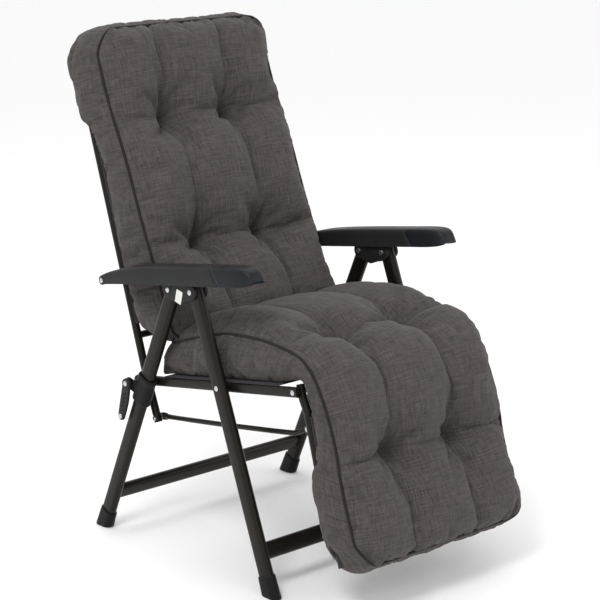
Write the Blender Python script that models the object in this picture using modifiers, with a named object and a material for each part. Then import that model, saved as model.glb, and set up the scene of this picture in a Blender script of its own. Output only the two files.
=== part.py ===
"""Folding garden recliner with a quilted pad, built as separate solids.

Metres, +Z up. The sitter faces -Y. The floor is z = 0 and x = 0 is the middle plane, so every
side piece is made twice, for the sitter's left (+X) and right (-X). Side-view points are (y, z).
"""

import math

import bmesh
import bpy
from mathutils import Matrix, Vector

# ---------------------------------------------------------------- driving sizes
GAP = 0.0003            # between pieces that touch
HOLE_CLEARANCE = 0.0004  # radius of a bolt hole over its bolt

# side-view pivots
HUB_REAR = (0.0603, 0.602)
HUB_FRONT = (-0.0127, 0.609)
REAR_FOOT_Y = 0.3263
FRONT_FOOT_Y = -0.2477
SEAT_PIVOT_Z = 0.416     # height of the bolt that ties the seat rail to the front leg
BACK_PIVOT = (0.2073, 0.365)
ARM_PIVOT = (0.2848, 0.583)
KNEE = (-0.2947, 0.448)   # footrest hinge
LINK_REAR = (0.1773, 0.281)
LINK_FRONT = (-0.3067, 0.368)
HUB_TOP = (0.0243, 0.630)  # centre of the round nose that rides in the armrest channel

# planes, measured out from the middle
LEG_X = 0.280
LEG_WIDTH = 0.020
LEG_DEPTH = 0.038
LEG_WALL = 0.0016
CROSSBAR_UP = 0.088      # height of both crossbars' centre lines
CROSSBAR_LENGTHWISE = 0.037
CROSSBAR_THICK = 0.020

RAIL_X = 0.2575
RAIL_WIDTH = 0.014
RAIL_DEPTH = 0.022
RAIL_END = 0.013         # rail beyond its end pivots
FRAME_X = 0.2395         # back tubes and footrest tubes
TUBE_D = 0.018
TUBE_WALL = 0.0014
ROD_X = 0.2235
ROD_D = 0.011

HUB_WIDTH = 0.036
HUB_LOBE = 0.018
HUB_NOSE = 0.0085
ARM_WIDTH = 0.055
ARM_WALL = 0.004
ARM_SLOPE = 0.158        # rise of the armrest line per metre forward
ARM_LENGTH = 0.500       # from the rear bolt to the tip
ARM_TOP = 0.035          # above the bolt line
ARM_BOTTOM = -0.006
ARM_CAP_AT = 0.400       # where the front end section starts

SLIDER_WIDTH = 0.0285
SLIDER_DEPTH = 0.049
SLIDER_UP = 0.030        # above the pivot, along the leg
SLIDER_DOWN = 0.026
SLIDER_BORE = 0.0005
LEVER_THICK = 0.014
LEVER_LENGTH = 0.094
LEVER_DEPTH = 0.024

FOOT_HEIGHT = 0.046
FOOT_WALL = 0.0028
FOOT_FLOOR = 0.012       # solid part below the tube

BACK_BEND = (0.2188, 0.385)
BACK_LEAN = 0.331        # y gained per metre of height
BACK_TOP_Z = 1.070
BACK_CORNER = 0.052
BOW_LEAD = 0.003         # straight length of the bow before its bend, so that its ends are square
FOOTREST_LENGTH = 0.362
FOOTREST_SLOPE = 0.284   # forward drift per metre of drop
FOOTREST_BOW = 0.007     # its tubes run this far in front of the hinge line

SLING_THICK = 0.0024
PAD_HALF_WIDTH = 0.243
SEAT_PAD_THICK = 0.072
BACK_PAD_THICK = 0.082
FOOT_PAD_THICK = 0.064
HOOD_DEPTH = 0.155       # how far the pocket over the back frame's top reaches down behind it

BOLT_R = 0.004
BOLT_HEAD_R = 0.0075
BOLT_HEAD_H = 0.0028
NUT_H = 0.004

SIDES = (("left", 1), ("right", -1))
OVAL_STEPS = 6           # segments in each rounded end of an oval tube
ROUND_RESOLUTION = 2     # bevel resolution of a round tube: 12 sides

COLORS = {
    "bronze_tube": ((0.028, 0.024, 0.019), 0.36, 0.75),
    "arm_plastic": ((0.045, 0.046, 0.047), 0.48, 0.0),
    "arm_end": ((0.030, 0.034, 0.040), 0.42, 0.0),
    "black_plastic": ((0.018, 0.018, 0.019), 0.50, 0.0),
    "lever_plastic": ((0.035, 0.035, 0.037), 0.55, 0.0),
    "bright_bolt": ((0.62, 0.62, 0.60), 0.25, 1.0),
    "sling_fabric": ((0.060, 0.050, 0.055), 0.85, 0.0),
    "pad_fabric": ((0.100, 0.088, 0.082), 0.92, 0.0),
    "label_paper": ((0.78, 0.78, 0.75), 0.60, 0.0),
}


# ---------------------------------------------------------------- small geometry helpers
def add2(a, b, k=1.0):
    return (a[0] + b[0] * k, a[1] + b[1] * k)


def unit2(a, b):
    d = (b[0] - a[0], b[1] - a[1])
    n = math.hypot(*d)
    return (d[0] / n, d[1] / n)


def turned2(v, angle):
    c, s = math.cos(angle), math.sin(angle)
    return (c * v[0] - s * v[1], s * v[0] + c * v[1])


def left2(v):
    return (-v[1], v[0])


def dist2(a, b):
    return math.hypot(b[0] - a[0], b[1] - a[1])


REAR_DIR = unit2(HUB_REAR, (REAR_FOOT_Y, 0.0))
FRONT_DIR = unit2(HUB_FRONT, (FRONT_FOOT_Y, 0.0))
SEAT_PIVOT = (
    HUB_FRONT[0] + (FRONT_FOOT_Y - HUB_FRONT[0]) * (HUB_FRONT[1] - SEAT_PIVOT_Z) / HUB_FRONT[1],
    SEAT_PIVOT_Z,
)
SEAT_DIR = unit2(BACK_PIVOT, KNEE)
SEAT_UP = (-SEAT_DIR[1], SEAT_DIR[0]) if SEAT_DIR[0] > 0 else (SEAT_DIR[1], -SEAT_DIR[0])
SEAT_LENGTH = dist2(BACK_PIVOT, KNEE)
BACK_DIR = unit2((0.0, 0.0), (BACK_LEAN, 1.0))
BACK_FRONT = (-BACK_DIR[1], BACK_DIR[0])
BACK_TOP = add2(BACK_BEND, BACK_DIR, (BACK_TOP_Z - BACK_BEND[1]) / BACK_DIR[1])
FOOT_DIR = unit2((0.0, 0.0), (-FOOTREST_SLOPE, -1.0))
FOOT_FRONT = (FOOT_DIR[1], -FOOT_DIR[0])
ARM_DIR = unit2((0.0, 0.0), (-1.0, ARM_SLOPE))
ARM_UP = (ARM_DIR[1], -ARM_DIR[0])


def seat_point(s, h):
    return add2(add2(BACK_PIVOT, SEAT_DIR, s), SEAT_UP, h)


def back_point(s, h):
    return add2(add2(BACK_BEND, BACK_DIR, s), BACK_FRONT, h)


def foot_point(s, h):
    return add2(add2(KNEE, FOOT_DIR, s), FOOT_FRONT, h)


def arm_point(s, h):
    return add2(add2(ARM_PIVOT, ARM_DIR, s), ARM_UP, h)


# ---------------------------------------------------------------- scene set-up
def clear_scene():
    for old in list(bpy.data.objects):
        bpy.data.objects.remove(old, do_unlink=True)


def new_collection(name):
    made = bpy.data.collections.new(name)
    bpy.context.scene.collection.children.link(made)
    return made


def make_materials():
    made = {}
    for name, (color, roughness, metallic) in COLORS.items():
        mat = bpy.data.materials.new(name)
        mat.use_nodes = True
        shader = mat.node_tree.nodes["Principled BSDF"]
        shader.inputs["Base Color"].default_value = (*color, 1.0)
        shader.inputs["Roughness"].default_value = roughness
        shader.inputs["Metallic"].default_value = metallic
        mat.diffuse_color = (*color, 1.0)
        made[name] = mat
    return made


clear_scene()
PARTS = new_collection("folding_chair")
CUTTERS = new_collection("cutters")
MATERIALS = make_materials()
PIVOTS = {}


def pivot(name, x, point, parent=None):
    """An empty on a joint's axis. Its pieces hang from it."""
    empty = bpy.data.objects.new("pivot_" + name, None)
    empty.empty_display_size = 0.03
    PARTS.objects.link(empty)
    where = Vector((x, point[0], point[1]))
    if parent:
        empty.parent = PIVOTS[parent][0]
        empty.location = where - PIVOTS[parent][1]
    else:
        empty.location = where
    PIVOTS[name] = (empty, where)


def add_object(name, bm, material, body):
    """Puts a finished mesh into the collection, under the pivot of the body it moves with."""
    bmesh.ops.recalc_face_normals(bm, faces=bm.faces[:])
    empty, where = PIVOTS[body]
    bmesh.ops.translate(bm, verts=bm.verts[:], vec=-where)
    mesh = bpy.data.meshes.new(name)
    bm.to_mesh(mesh)
    bm.free()
    return add_mesh(name, mesh, material, empty)


def add_mesh(name, mesh, material, empty):
    mesh.materials.append(MATERIALS[material])
    mesh.shade_smooth()
    mesh.set_sharp_from_angle(angle=math.radians(40))
    obj = bpy.data.objects.new(name, mesh)
    PARTS.objects.link(obj)
    obj.parent = empty
    return obj


def skin_rings(bm, rings):
    """Faces between rings of equal count, with both ends closed. Lofts between unlike sections use it."""
    made = [[bm.verts.new(p) for p in ring] for ring in rings]
    for a, b in zip(made, made[1:]):
        n = len(a)
        for i in range(n):
            j = (i + 1) % n
            bm.faces.new((a[i], a[j], b[j], b[i]))
    bm.faces.new(made[0])
    bm.faces.new(made[-1])
    return made


def oval_ring(width, depth, steps=OVAL_STEPS):
    """A flat-sided oval: (across, deep) points, with half-round ends of the smaller size."""
    small = min(width, depth) / 2
    shift_a = width / 2 - small
    shift_b = depth / 2 - small
    points = []
    for quarter, (sa, sb) in enumerate(((1, 1), (-1, 1), (-1, -1), (1, -1))):
        for i in range(steps // 2 + 1):
            a = math.pi / 2 * (quarter + i / (steps // 2))
            p = (sa * shift_a + small * math.cos(a), sb * shift_b + small * math.sin(a))
            if not points or math.hypot(p[0] - points[-1][0], p[1] - points[-1][1]) > 1e-6:
                points.append(p)
    if math.hypot(points[0][0] - points[-1][0], points[0][1] - points[-1][1]) < 1e-6:
        points.pop()
    return points


def path_frames(path):
    """The direction at each point of a side-view path."""
    frames = []
    for i in range(len(path)):
        frames.append(unit2(path[max(i - 1, 0)], path[min(i + 1, len(path) - 1)]))
    return frames


def place_ring(x, point, direction, ring):
    """An (across, deep) ring set square to a side-view direction."""
    side = left2(direction)
    return [Vector((x + a, point[0] + side[0] * b, point[1] + side[1] * b)) for a, b in ring]


def poly_curve(label, points, cyclic=False, flat=False):
    """A curve data block with one POLY spline."""
    curve = bpy.data.curves.new(label, "CURVE")
    curve.dimensions = "2D" if flat else "3D"
    spline = curve.splines.new("POLY")
    spline.points.add(len(points) - 1)
    for spot, co in zip(spline.points, points):
        spot.co = (*co, 0.0, 1.0) if len(co) == 2 else (*co, 1.0)
    spline.use_cyclic_u = cyclic
    return curve


def curve_to_bmesh(curve, matrix=None):
    """The curve's surface as a mesh, its loose caps welded. The curve itself is removed."""
    obj = bpy.data.objects.new(curve.name, curve)
    CUTTERS.objects.link(obj)
    bpy.context.view_layer.update()
    graph = bpy.context.evaluated_depsgraph_get()
    mesh = bpy.data.meshes.new_from_object(obj.evaluated_get(graph))
    bm = bmesh.new()
    bm.from_mesh(mesh)
    bpy.data.meshes.remove(mesh)
    bpy.data.objects.remove(obj, do_unlink=True)
    bpy.data.curves.remove(curve)
    bmesh.ops.remove_doubles(bm, verts=bm.verts[:], dist=1e-6)
    if matrix:
        bmesh.ops.transform(bm, matrix=matrix, verts=bm.verts[:])
    return bm


def swept(points, section, caps):
    """A round or flat-sided oval section carried along a path. An oval's width stays level."""
    curve = poly_curve("path", points)
    curve.twist_mode = "Z_UP"
    curve.use_fill_caps = caps
    if section[0] == section[1]:
        curve.bevel_depth = section[0] / 2
        curve.bevel_resolution = ROUND_RESOLUTION
        return curve_to_bmesh(curve)
    profile = bpy.data.objects.new("section", poly_curve("section", oval_ring(*section), True, True))
    CUTTERS.objects.link(profile)
    curve.bevel_mode = "OBJECT"
    curve.bevel_object = profile
    bm = curve_to_bmesh(curve)
    outline = profile.data
    bpy.data.objects.remove(profile, do_unlink=True)
    bpy.data.curves.remove(outline)
    return bm


def give_wall(obj, wall):
    """Turns an open tube surface into a hollow tube, its wall growing inwards."""
    shell = obj.modifiers.new("wall", "SOLIDIFY")
    shell.thickness = wall
    shell.offset = -1.0
    shell.use_even_offset = True
    return obj


def side_tube(name, x, path, section, wall, material, body):
    """A hollow tube whose centre line lies in one side plane, open at both ends."""
    bm = swept([(x, y, z) for y, z in path], section, False)
    return give_wall(add_object(name, bm, material, body), wall)


def cross_tube(name, point, along, section, wall, half_length, material, body):
    """A straight hollow tube across the chair. An oval's deep side lies along a side-view direction."""
    bm = swept([(-half_length, 0.0, 0.0), (half_length, 0.0, 0.0)], section, False)
    turn = Matrix.Rotation(math.atan2(-along[0], along[1]), 4, "X")
    place = Matrix.Translation((0.0, point[0], point[1]))
    bmesh.ops.transform(bm, matrix=place @ turn, verts=bm.verts[:])
    return give_wall(add_object(name, bm, material, body), wall)


SIDE_PLANE = Matrix(((0, 0, 1, 0), (1, 0, 0, 0), (0, 1, 0, 0), (0, 0, 0, 1)))


def outline_solid(outline, x0, x1):
    """A side-view outline, filled and extruded between two planes."""
    curve = poly_curve("outline", outline, True, True)
    curve.fill_mode = "BOTH"
    curve.extrude = abs(x1 - x0) / 2
    return curve_to_bmesh(curve, Matrix.Translation(((x0 + x1) / 2, 0.0, 0.0)) @ SIDE_PLANE)


def plate(name, outline, x0, x1, material, body, bevel=0.0):
    """A plate or pad cut to a side-view outline, its rims softened by the bevel."""
    obj = add_object(name, outline_solid(outline, x0, x1), material, body)
    if bevel:
        cut = obj.modifiers.new("soft_rims", "BEVEL")
        cut.width = bevel
        cut.segments = 2
        cut.limit_method = "ANGLE"
        cut.angle_limit = math.radians(50)
        cut.use_clamp_overlap = True
    return obj


def turned_x(name, point, profile, side, material, body, steps=14):
    """A piece turned about a crosswise axis. The profile lists (distance out from the middle, radius)."""
    empty, where = PIVOTS[body]
    spots = [(profile[0][0], 0.0), *profile, (profile[-1][0], 0.0)]
    mesh = bpy.data.meshes.new(name)
    mesh.from_pydata(
        [(side * x, 0.0, r) for x, r in spots], [(i, i + 1) for i in range(len(spots) - 1)], []
    )
    obj = add_mesh(name, mesh, material, empty)
    obj.location = Vector((0.0, point[0], point[1])) - where
    spin = obj.modifiers.new("turned", "SCREW")
    spin.axis = "X"
    spin.steps = steps
    spin.render_steps = steps
    spin.use_merge_vertices = True
    spin.merge_threshold = 0.00001
    spin.use_normal_calculate = True
    spin.use_normal_flip = True
    return obj


def bolt(name, point, inner_x, outer_x, side, body, nut=True, material="bright_bolt"):
    """A through bolt: nut inside, shank, domed head outside. inner_x and outer_x are the faces it clamps."""
    profile = []
    start = inner_x - GAP
    if nut:
        profile += [(start - NUT_H, BOLT_HEAD_R - 0.002), (start - NUT_H + 0.001, BOLT_HEAD_R - 0.001)]
        profile += [(start, BOLT_HEAD_R - 0.001)]
    profile += [(start, BOLT_R), (outer_x + GAP, BOLT_R)]
    head = outer_x + GAP
    profile += [
        (head, BOLT_HEAD_R),
        (head + BOLT_HEAD_H * 0.45, BOLT_HEAD_R * 0.93),
        (head + BOLT_HEAD_H, BOLT_HEAD_R * 0.55),
    ]
    return turned_x(name, point, profile, side, material, body)


def drill(obj, point, x0, x1, side, radius=BOLT_R + HOLE_CLEARANCE):
    """Cuts a round crosswise hole through an object."""
    bm = bmesh.new()
    place = Matrix.Translation((side * (x0 + x1) / 2, point[0], point[1]))
    bmesh.ops.create_cone(
        bm,
        cap_ends=True,
        segments=16,
        radius1=radius,
        radius2=radius,
        depth=abs(x1 - x0),
        matrix=place @ Matrix.Rotation(math.pi / 2, 4, "Y"),
    )
    cut_with(obj, bm, "hole")


def cut_with(obj, bm, label):
    """Subtracts a closed shape from an object with an exact Boolean."""
    bmesh.ops.recalc_face_normals(bm, faces=bm.faces[:])
    mesh = bpy.data.meshes.new(obj.name + "_" + label)
    bm.to_mesh(mesh)
    bm.free()
    cutter = bpy.data.objects.new(obj.name + "_" + label, mesh)
    CUTTERS.objects.link(cutter)
    cutter.hide_render = True
    cutter.display_type = "WIRE"
    cut = obj.modifiers.new(label, "BOOLEAN")
    cut.operation = "DIFFERENCE"
    cut.solver = "EXACT"
    cut.object = cutter


def join_with(obj, bm, label):
    """Welds a closed shape to an object with an exact Boolean union."""
    cut_with(obj, bm, label)
    obj.modifiers[-1].operation = "UNION"


def hull_outline(circles, steps=36):
    """The taut outline round several (y, z, radius) circles."""
    points = []
    for i in range(steps):
        a = 2 * math.pi * i / steps
        d = (math.cos(a), math.sin(a))
        best = max(circles, key=lambda c: c[0] * d[0] + c[1] * d[1] + c[2])
        points.append((best[0] + best[2] * d[0], best[1] + best[2] * d[1]))
    return points


def arc_points(center, radius, a0, a1, steps):
    return [
        (
            center[0] + radius * math.cos(a0 + (a1 - a0) * i / steps),
            center[1] + radius * math.sin(a0 + (a1 - a0) * i / steps),
        )
        for i in range(steps + 1)
    ]


# ---------------------------------------------------------------- pivots
pivot("rear_frame", 0.0, HUB_REAR)
pivot("front_frame", 0.0, HUB_FRONT, "rear_frame")
pivot("slider", 0.0, BACK_PIVOT, "rear_frame")
pivot("lever_left", LEG_X, BACK_PIVOT, "slider")
pivot("lever_right", -LEG_X, BACK_PIVOT, "slider")
pivot("seat_frame", 0.0, BACK_PIVOT, "slider")
pivot("back_frame", 0.0, BACK_PIVOT, "seat_frame")
pivot("armrests", 0.0, ARM_PIVOT, "back_frame")
pivot("footrest", 0.0, KNEE, "seat_frame")
pivot("links", 0.0, LINK_REAR, "back_frame")

LEG_SECTION = (LEG_WIDTH, LEG_DEPTH)
RAIL_SECTION = (RAIL_WIDTH, RAIL_DEPTH)
TUBE_SECTION = (TUBE_D, TUBE_D)
CROSS_SECTION = (0.016, 0.016)
BAR_SECTION = (CROSSBAR_THICK, CROSSBAR_LENGTHWISE)


# ---------------------------------------------------------------- legs, feet, crossbars
def leg_end(direction, foot_y):
    """Where the leg tube stops inside its foot, measured up the leg from the floor."""
    return add2((foot_y, 0.0), direction, -(FOOT_FLOOR + LEG_DEPTH / 2 * abs(direction[0] / direction[1])))


def make_leg(name, side, top, direction, foot_y, body):
    path = [add2(top, direction, -0.010), leg_end(direction, foot_y)]
    leg = side_tube(name, side * LEG_X, path, LEG_SECTION, LEG_WALL, "bronze_tube", body)
    drill(leg, top, LEG_X - LEG_WIDTH, LEG_X + LEG_WIDTH, side)
    return leg


def make_foot(name, side, direction, foot_y, body):
    """A moulded shoe: the tube stands in its socket, and its sole lies flat on the floor."""
    bm = bmesh.new()
    x = side * LEG_X
    outer = oval_ring(LEG_WIDTH + 2 * FOOT_WALL, LEG_DEPTH + 2 * FOOT_WALL)
    socket = oval_ring(LEG_WIDTH + 2 * GAP, LEG_DEPTH + 2 * GAP)
    base = (foot_y, 0.0)
    across = left2(direction)
    sole = []
    for a, b in outer:
        start = add2(base, across, b)
        slide = -start[1] / direction[1]
        sole.append(Vector((x + a * 1.04, start[0] + direction[0] * slide, 0.0)))
    top = place_ring(x, add2(base, direction, -FOOT_HEIGHT), direction, outer)
    mouth = place_ring(x, add2(base, direction, -FOOT_HEIGHT), direction, socket)
    stop = add2(leg_end(direction, foot_y), direction, GAP)
    bottom = place_ring(x, stop, direction, socket)
    skin_rings(bm, [sole, top, mouth, bottom])
    return add_object(name, bm, "black_plastic", body)


def crossbar(name, top, direction, foot_y, body):
    t = CROSSBAR_UP / -direction[1]
    point = add2((foot_y, 0.0), direction, -t)
    half = LEG_X - LEG_WIDTH / 2 - GAP
    return cross_tube(name, point, direction, BAR_SECTION, LEG_WALL, half, "bronze_tube", body)


for word, side in SIDES:
    make_leg("rear_leg_" + word, side, HUB_REAR, REAR_DIR, REAR_FOOT_Y, "rear_frame")
    make_foot("rear_foot_" + word, side, REAR_DIR, REAR_FOOT_Y, "rear_frame")
    front = make_leg("front_leg_" + word, side, HUB_FRONT, FRONT_DIR, FRONT_FOOT_Y, "front_frame")
    drill(front, SEAT_PIVOT, LEG_X - LEG_WIDTH, LEG_X + LEG_WIDTH, side)
    make_foot("front_foot_" + word, side, FRONT_DIR, FRONT_FOOT_Y, "front_frame")
    turned_x(
        "seat_pivot_bolt_" + word,
        SEAT_PIVOT,
        [
            (RAIL_X + RAIL_WIDTH / 2 + 0.001, BOLT_HEAD_R),
            (LEG_X - LEG_WIDTH / 2 - GAP, BOLT_HEAD_R),
            (LEG_X - LEG_WIDTH / 2 - GAP, BOLT_R),
            (LEG_X + LEG_WIDTH / 2 + GAP, BOLT_R),
            (LEG_X + LEG_WIDTH / 2 + GAP, BOLT_HEAD_R),
            (LEG_X + LEG_WIDTH / 2 + GAP + BOLT_HEAD_H * 0.45, BOLT_HEAD_R * 0.93),
            (LEG_X + LEG_WIDTH / 2 + GAP + BOLT_HEAD_H, BOLT_HEAD_R * 0.55),
        ],
        side,
        "bright_bolt",
        "front_frame",
    )
crossbar("rear_crossbar", HUB_REAR, REAR_DIR, REAR_FOOT_Y, "rear_frame")
crossbar("front_crossbar", HUB_FRONT, FRONT_DIR, FRONT_FOOT_Y, "front_frame")


# ---------------------------------------------------------------- hubs under the armrests
def make_hub(word, side):
    outline = hull_outline(
        [
            (*HUB_REAR, HUB_LOBE),
            (*HUB_FRONT, HUB_LOBE - 0.001),
            (*HUB_TOP, HUB_NOSE),
            (HUB_TOP[0] + 0.001, HUB_REAR[1] - 0.015, 0.010),
        ]
    )
    hub = plate(
        "hub_" + word, outline, side * (LEG_X - HUB_WIDTH / 2), side * (LEG_X + HUB_WIDTH / 2), "arm_plastic", "rear_frame"
    )
    slot_half = LEG_WIDTH / 2 + 0.0007
    top = HUB_FRONT[1] + 0.0205
    low_y, high_y = HUB_FRONT[0] - 0.04, HUB_REAR[0] + 0.04
    low_z = HUB_REAR[1] - 0.05
    bm = bmesh.new()
    place = Matrix.Translation((side * LEG_X, (low_y + high_y) / 2, (low_z + top) / 2))
    size = Matrix.Diagonal((2 * slot_half, high_y - low_y, top - low_z, 1.0))
    bmesh.ops.create_cube(bm, size=1.0, matrix=place @ size)
    cut_with(hub, bm, "leg_slot")
    for name, point in (("rear", HUB_REAR), ("front", HUB_FRONT)):
        drill(hub, point, LEG_X - HUB_WIDTH, LEG_X + HUB_WIDTH, side)
        bolt(
            "hub_" + name + "_bolt_" + word,
            point,
            LEG_X - HUB_WIDTH / 2,
            LEG_X + HUB_WIDTH / 2,
            side,
            "rear_frame",
        )


for word, side in SIDES:
    make_hub(word, side)

LABEL_TILT = math.radians(-12)
label_center = (0.0228, 0.5935)
label_outline = []
for a, b in ((-0.0068, -0.0145), (0.0068, -0.0145), (0.0068, 0.0145), (-0.0068, 0.0145)):
    label_outline.append(add2(label_center, turned2((a, b), LABEL_TILT)))
plate(
    "hub_label_right",
    label_outline,
    -(LEG_X + HUB_WIDTH / 2 + GAP),
    -(LEG_X + HUB_WIDTH / 2 + GAP + 0.0006),
    "label_paper",
    "rear_frame",
)


# ---------------------------------------------------------------- sliding lock collars and levers
def make_slider(word, side):
    inner = LEG_X - SLIDER_WIDTH / 2
    outer = LEG_X + SLIDER_WIDTH / 2
    across = left2(REAR_DIR)
    along = (BACK_PIVOT[0] - HUB_REAR[0]) * REAR_DIR[0] + (BACK_PIVOT[1] - HUB_REAR[1]) * REAR_DIR[1]
    center = add2(HUB_REAR, REAR_DIR, along)
    half = SLIDER_DEPTH / 2

    def leg_point(down, back):
        return add2(add2(center, REAR_DIR, down), across, back)

    sleeve = [
        leg_point(-SLIDER_UP, -half * 0.86),
        leg_point(-SLIDER_UP * 0.55, -half),
        leg_point(SLIDER_DOWN, -half),
        leg_point(SLIDER_DOWN, half * 0.86),
        leg_point(SLIDER_DOWN * 0.4, half + 0.004),
        leg_point(-SLIDER_UP * 0.4, half + 0.004),
        leg_point(-SLIDER_UP * 1.1, half),
        leg_point(-SLIDER_UP * 1.35, half * 0.7),
        leg_point(-SLIDER_UP * 1.3, 0.0),
    ]
    slider = plate("slider_" + word, sleeve, side * inner, side * outer, "black_plastic", "slider", bevel=0.0022)
    lobe = hull_outline([(*BACK_PIVOT, 0.0125), (*leg_point(-0.004, half * 0.3), 0.018)], 28)
    join_with(slider, outline_solid(lobe, side * (inner + 0.0006), side * (outer - 0.0006)), "lobe")
    bore_half_w = LEG_WIDTH / 2 + SLIDER_BORE
    ends = [(side * LEG_X, *leg_point(-0.09, 0.0)), (side * LEG_X, *leg_point(0.09, 0.0))]
    bm = swept(ends, (2 * bore_half_w, LEG_DEPTH + 2 * SLIDER_BORE), True)
    cut_with(slider, bm, "leg_passage")
    drill(slider, BACK_PIVOT, inner - 0.01, outer + 0.01, side)
    return leg_point


def make_lever(word, side, leg_point):
    """A grip that hangs along the leg, turning about the back pivot's bolt."""
    x0 = LEG_X + SLIDER_WIDTH / 2 + GAP
    x1 = x0 + LEVER_THICK
    hang = turned2(REAR_DIR, math.radians(-7))
    end = add2(BACK_PIVOT, hang, LEVER_LENGTH - 0.012)
    back = left2(hang)
    outline = [
        add2(add2(BACK_PIVOT, hang, 0.016), back, -0.0135),
        add2(add2(BACK_PIVOT, hang, 0.030), back, -0.0145),
        add2(add2(BACK_PIVOT, hang, 0.060), back, -0.0125),
        add2(add2(BACK_PIVOT, hang, 0.076), back, -0.0105),
    ]
    start = math.atan2(-back[1], -back[0])
    outline += arc_points(end, 0.0095, start, start + math.pi, 8)
    outline += [
        add2(add2(BACK_PIVOT, hang, 0.066), back, 0.0105),
        add2(add2(BACK_PIVOT, hang, 0.040), back, 0.0110),
        add2(add2(BACK_PIVOT, hang, 0.020), back, 0.0105),
    ]
    outline += arc_points(BACK_PIVOT, 0.0115, start + math.pi, start + 2 * math.pi, 8)
    body = "lever_" + word
    lever = plate("lever_" + word, outline, side * x0, side * x1, "lever_plastic", body, bevel=0.003)
    drill(lever, BACK_PIVOT, x0 - 0.01, x1 + 0.01, side)
    drill(lever, end, x0 - 0.01, x1 + 0.01, side, 0.003 + HOLE_CLEARANCE)
    turned_x(
        "lever_rivet_" + word,
        end,
        [
            (x0 + 0.0008, 0.0030),
            (x1 + GAP, 0.0030),
            (x1 + GAP, 0.0058),
            (x1 + GAP + 0.0010, 0.0052),
            (x1 + GAP + 0.0018, 0.0028),
        ],
        side,
        "bright_bolt",
        body,
        steps=12,
    )
    return x1


for word, side in SIDES:
    on_leg = make_slider(word, side)
    lever_face = make_lever(word, side, on_leg)
    bolt(
        "back_pivot_bolt_" + word, BACK_PIVOT, FRAME_X - TUBE_D / 2, lever_face, side, "slider"
    )


# ---------------------------------------------------------------- seat frame
for word, side in SIDES:
    rail_path = [seat_point(-RAIL_END, 0.0), seat_point(SEAT_LENGTH + RAIL_END * 0.8, 0.0)]
    rail = side_tube(
        "seat_rail_" + word, side * RAIL_X, rail_path, RAIL_SECTION, TUBE_WALL, "bronze_tube", "seat_frame"
    )
    drill(rail, BACK_PIVOT, RAIL_X - 0.02, RAIL_X + 0.02, side)
    drill(rail, KNEE, RAIL_X - 0.02, RAIL_X + 0.02, side)
SEAT_REAR_TUBE_AT = 0.075
SEAT_FRONT_TUBE_AT = 0.365
for name, at in (("seat_rear_tube", SEAT_REAR_TUBE_AT), ("seat_front_tube", SEAT_FRONT_TUBE_AT)):
    half = RAIL_X - RAIL_WIDTH / 2 - GAP
    cross_tube(name, seat_point(at, 0.0), SEAT_DIR, CROSS_SECTION, TUBE_WALL, half, "bronze_tube", "seat_frame")

SLING_H = RAIL_DEPTH / 2 + GAP
plate(
    "seat_sling",
    [
        seat_point(0.088, SLING_H),
        seat_point(0.465, SLING_H),
        seat_point(0.465, SLING_H + SLING_THICK),
        seat_point(0.088, SLING_H + SLING_THICK),
    ],
    -(RAIL_X + RAIL_WIDTH / 2 - 0.001),
    RAIL_X + RAIL_WIDTH / 2 - 0.001,
    "sling_fabric",
    "seat_frame",
)
PAD_H = SLING_H + SLING_THICK + 0.0008
seat_pad_outline = [
    seat_point(0.106, PAD_H + 0.012),
    seat_point(0.112, PAD_H),
    seat_point(0.470, PAD_H),
    seat_point(0.500, 0.016),
    add2(KNEE, (-math.cos(math.radians(60)), math.sin(math.radians(60))), 0.019),
    add2(KNEE, (-math.cos(math.radians(34)), math.sin(math.radians(34))), 0.019),
    add2(KNEE, (-math.cos(math.radians(30)), math.sin(math.radians(30))), 0.062),
    add2(KNEE, (-math.cos(math.radians(45)), math.sin(math.radians(45))), 0.070),
    add2(KNEE, (-math.cos(math.radians(65)), math.sin(math.radians(65))), 0.077),
    seat_point(SEAT_LENGTH - 0.010, PAD_H + SEAT_PAD_THICK - 0.006),
    seat_point(SEAT_LENGTH - 0.060, PAD_H + SEAT_PAD_THICK),
    seat_point(0.250, PAD_H + SEAT_PAD_THICK),
    seat_point(0.150, PAD_H + SEAT_PAD_THICK - 0.008),
    seat_point(0.110, PAD_H + SEAT_PAD_THICK - 0.026),
]
plate("seat_cushion", seat_pad_outline, -PAD_HALF_WIDTH, PAD_HALF_WIDTH, "pad_fabric", "seat_frame", bevel=0.012)


# ---------------------------------------------------------------- back frame
BACK_LENGTH = dist2(BACK_BEND, BACK_TOP)
for word, side in SIDES:
    lower_end = add2(LINK_REAR, unit2(BACK_BEND, LINK_REAR), 0.010)
    tube_path = [
        lower_end,
        add2(BACK_BEND, unit2(BACK_BEND, LINK_REAR), 0.012),
        add2(BACK_BEND, unit2(BACK_BEND, LINK_REAR), 0.003),
        add2(BACK_BEND, BACK_DIR, 0.004),
        add2(BACK_BEND, BACK_DIR, 0.014),
        back_point(BACK_LENGTH - BACK_CORNER - BOW_LEAD, 0.0),
    ]
    tube = side_tube(
        "back_tube_" + word, side * FRAME_X, tube_path, TUBE_SECTION, TUBE_WALL, "bronze_tube", "back_frame"
    )
    for hole in (BACK_PIVOT, ARM_PIVOT, LINK_REAR):
        drill(tube, hole, FRAME_X - 0.02, FRAME_X + 0.02, side)


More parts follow.
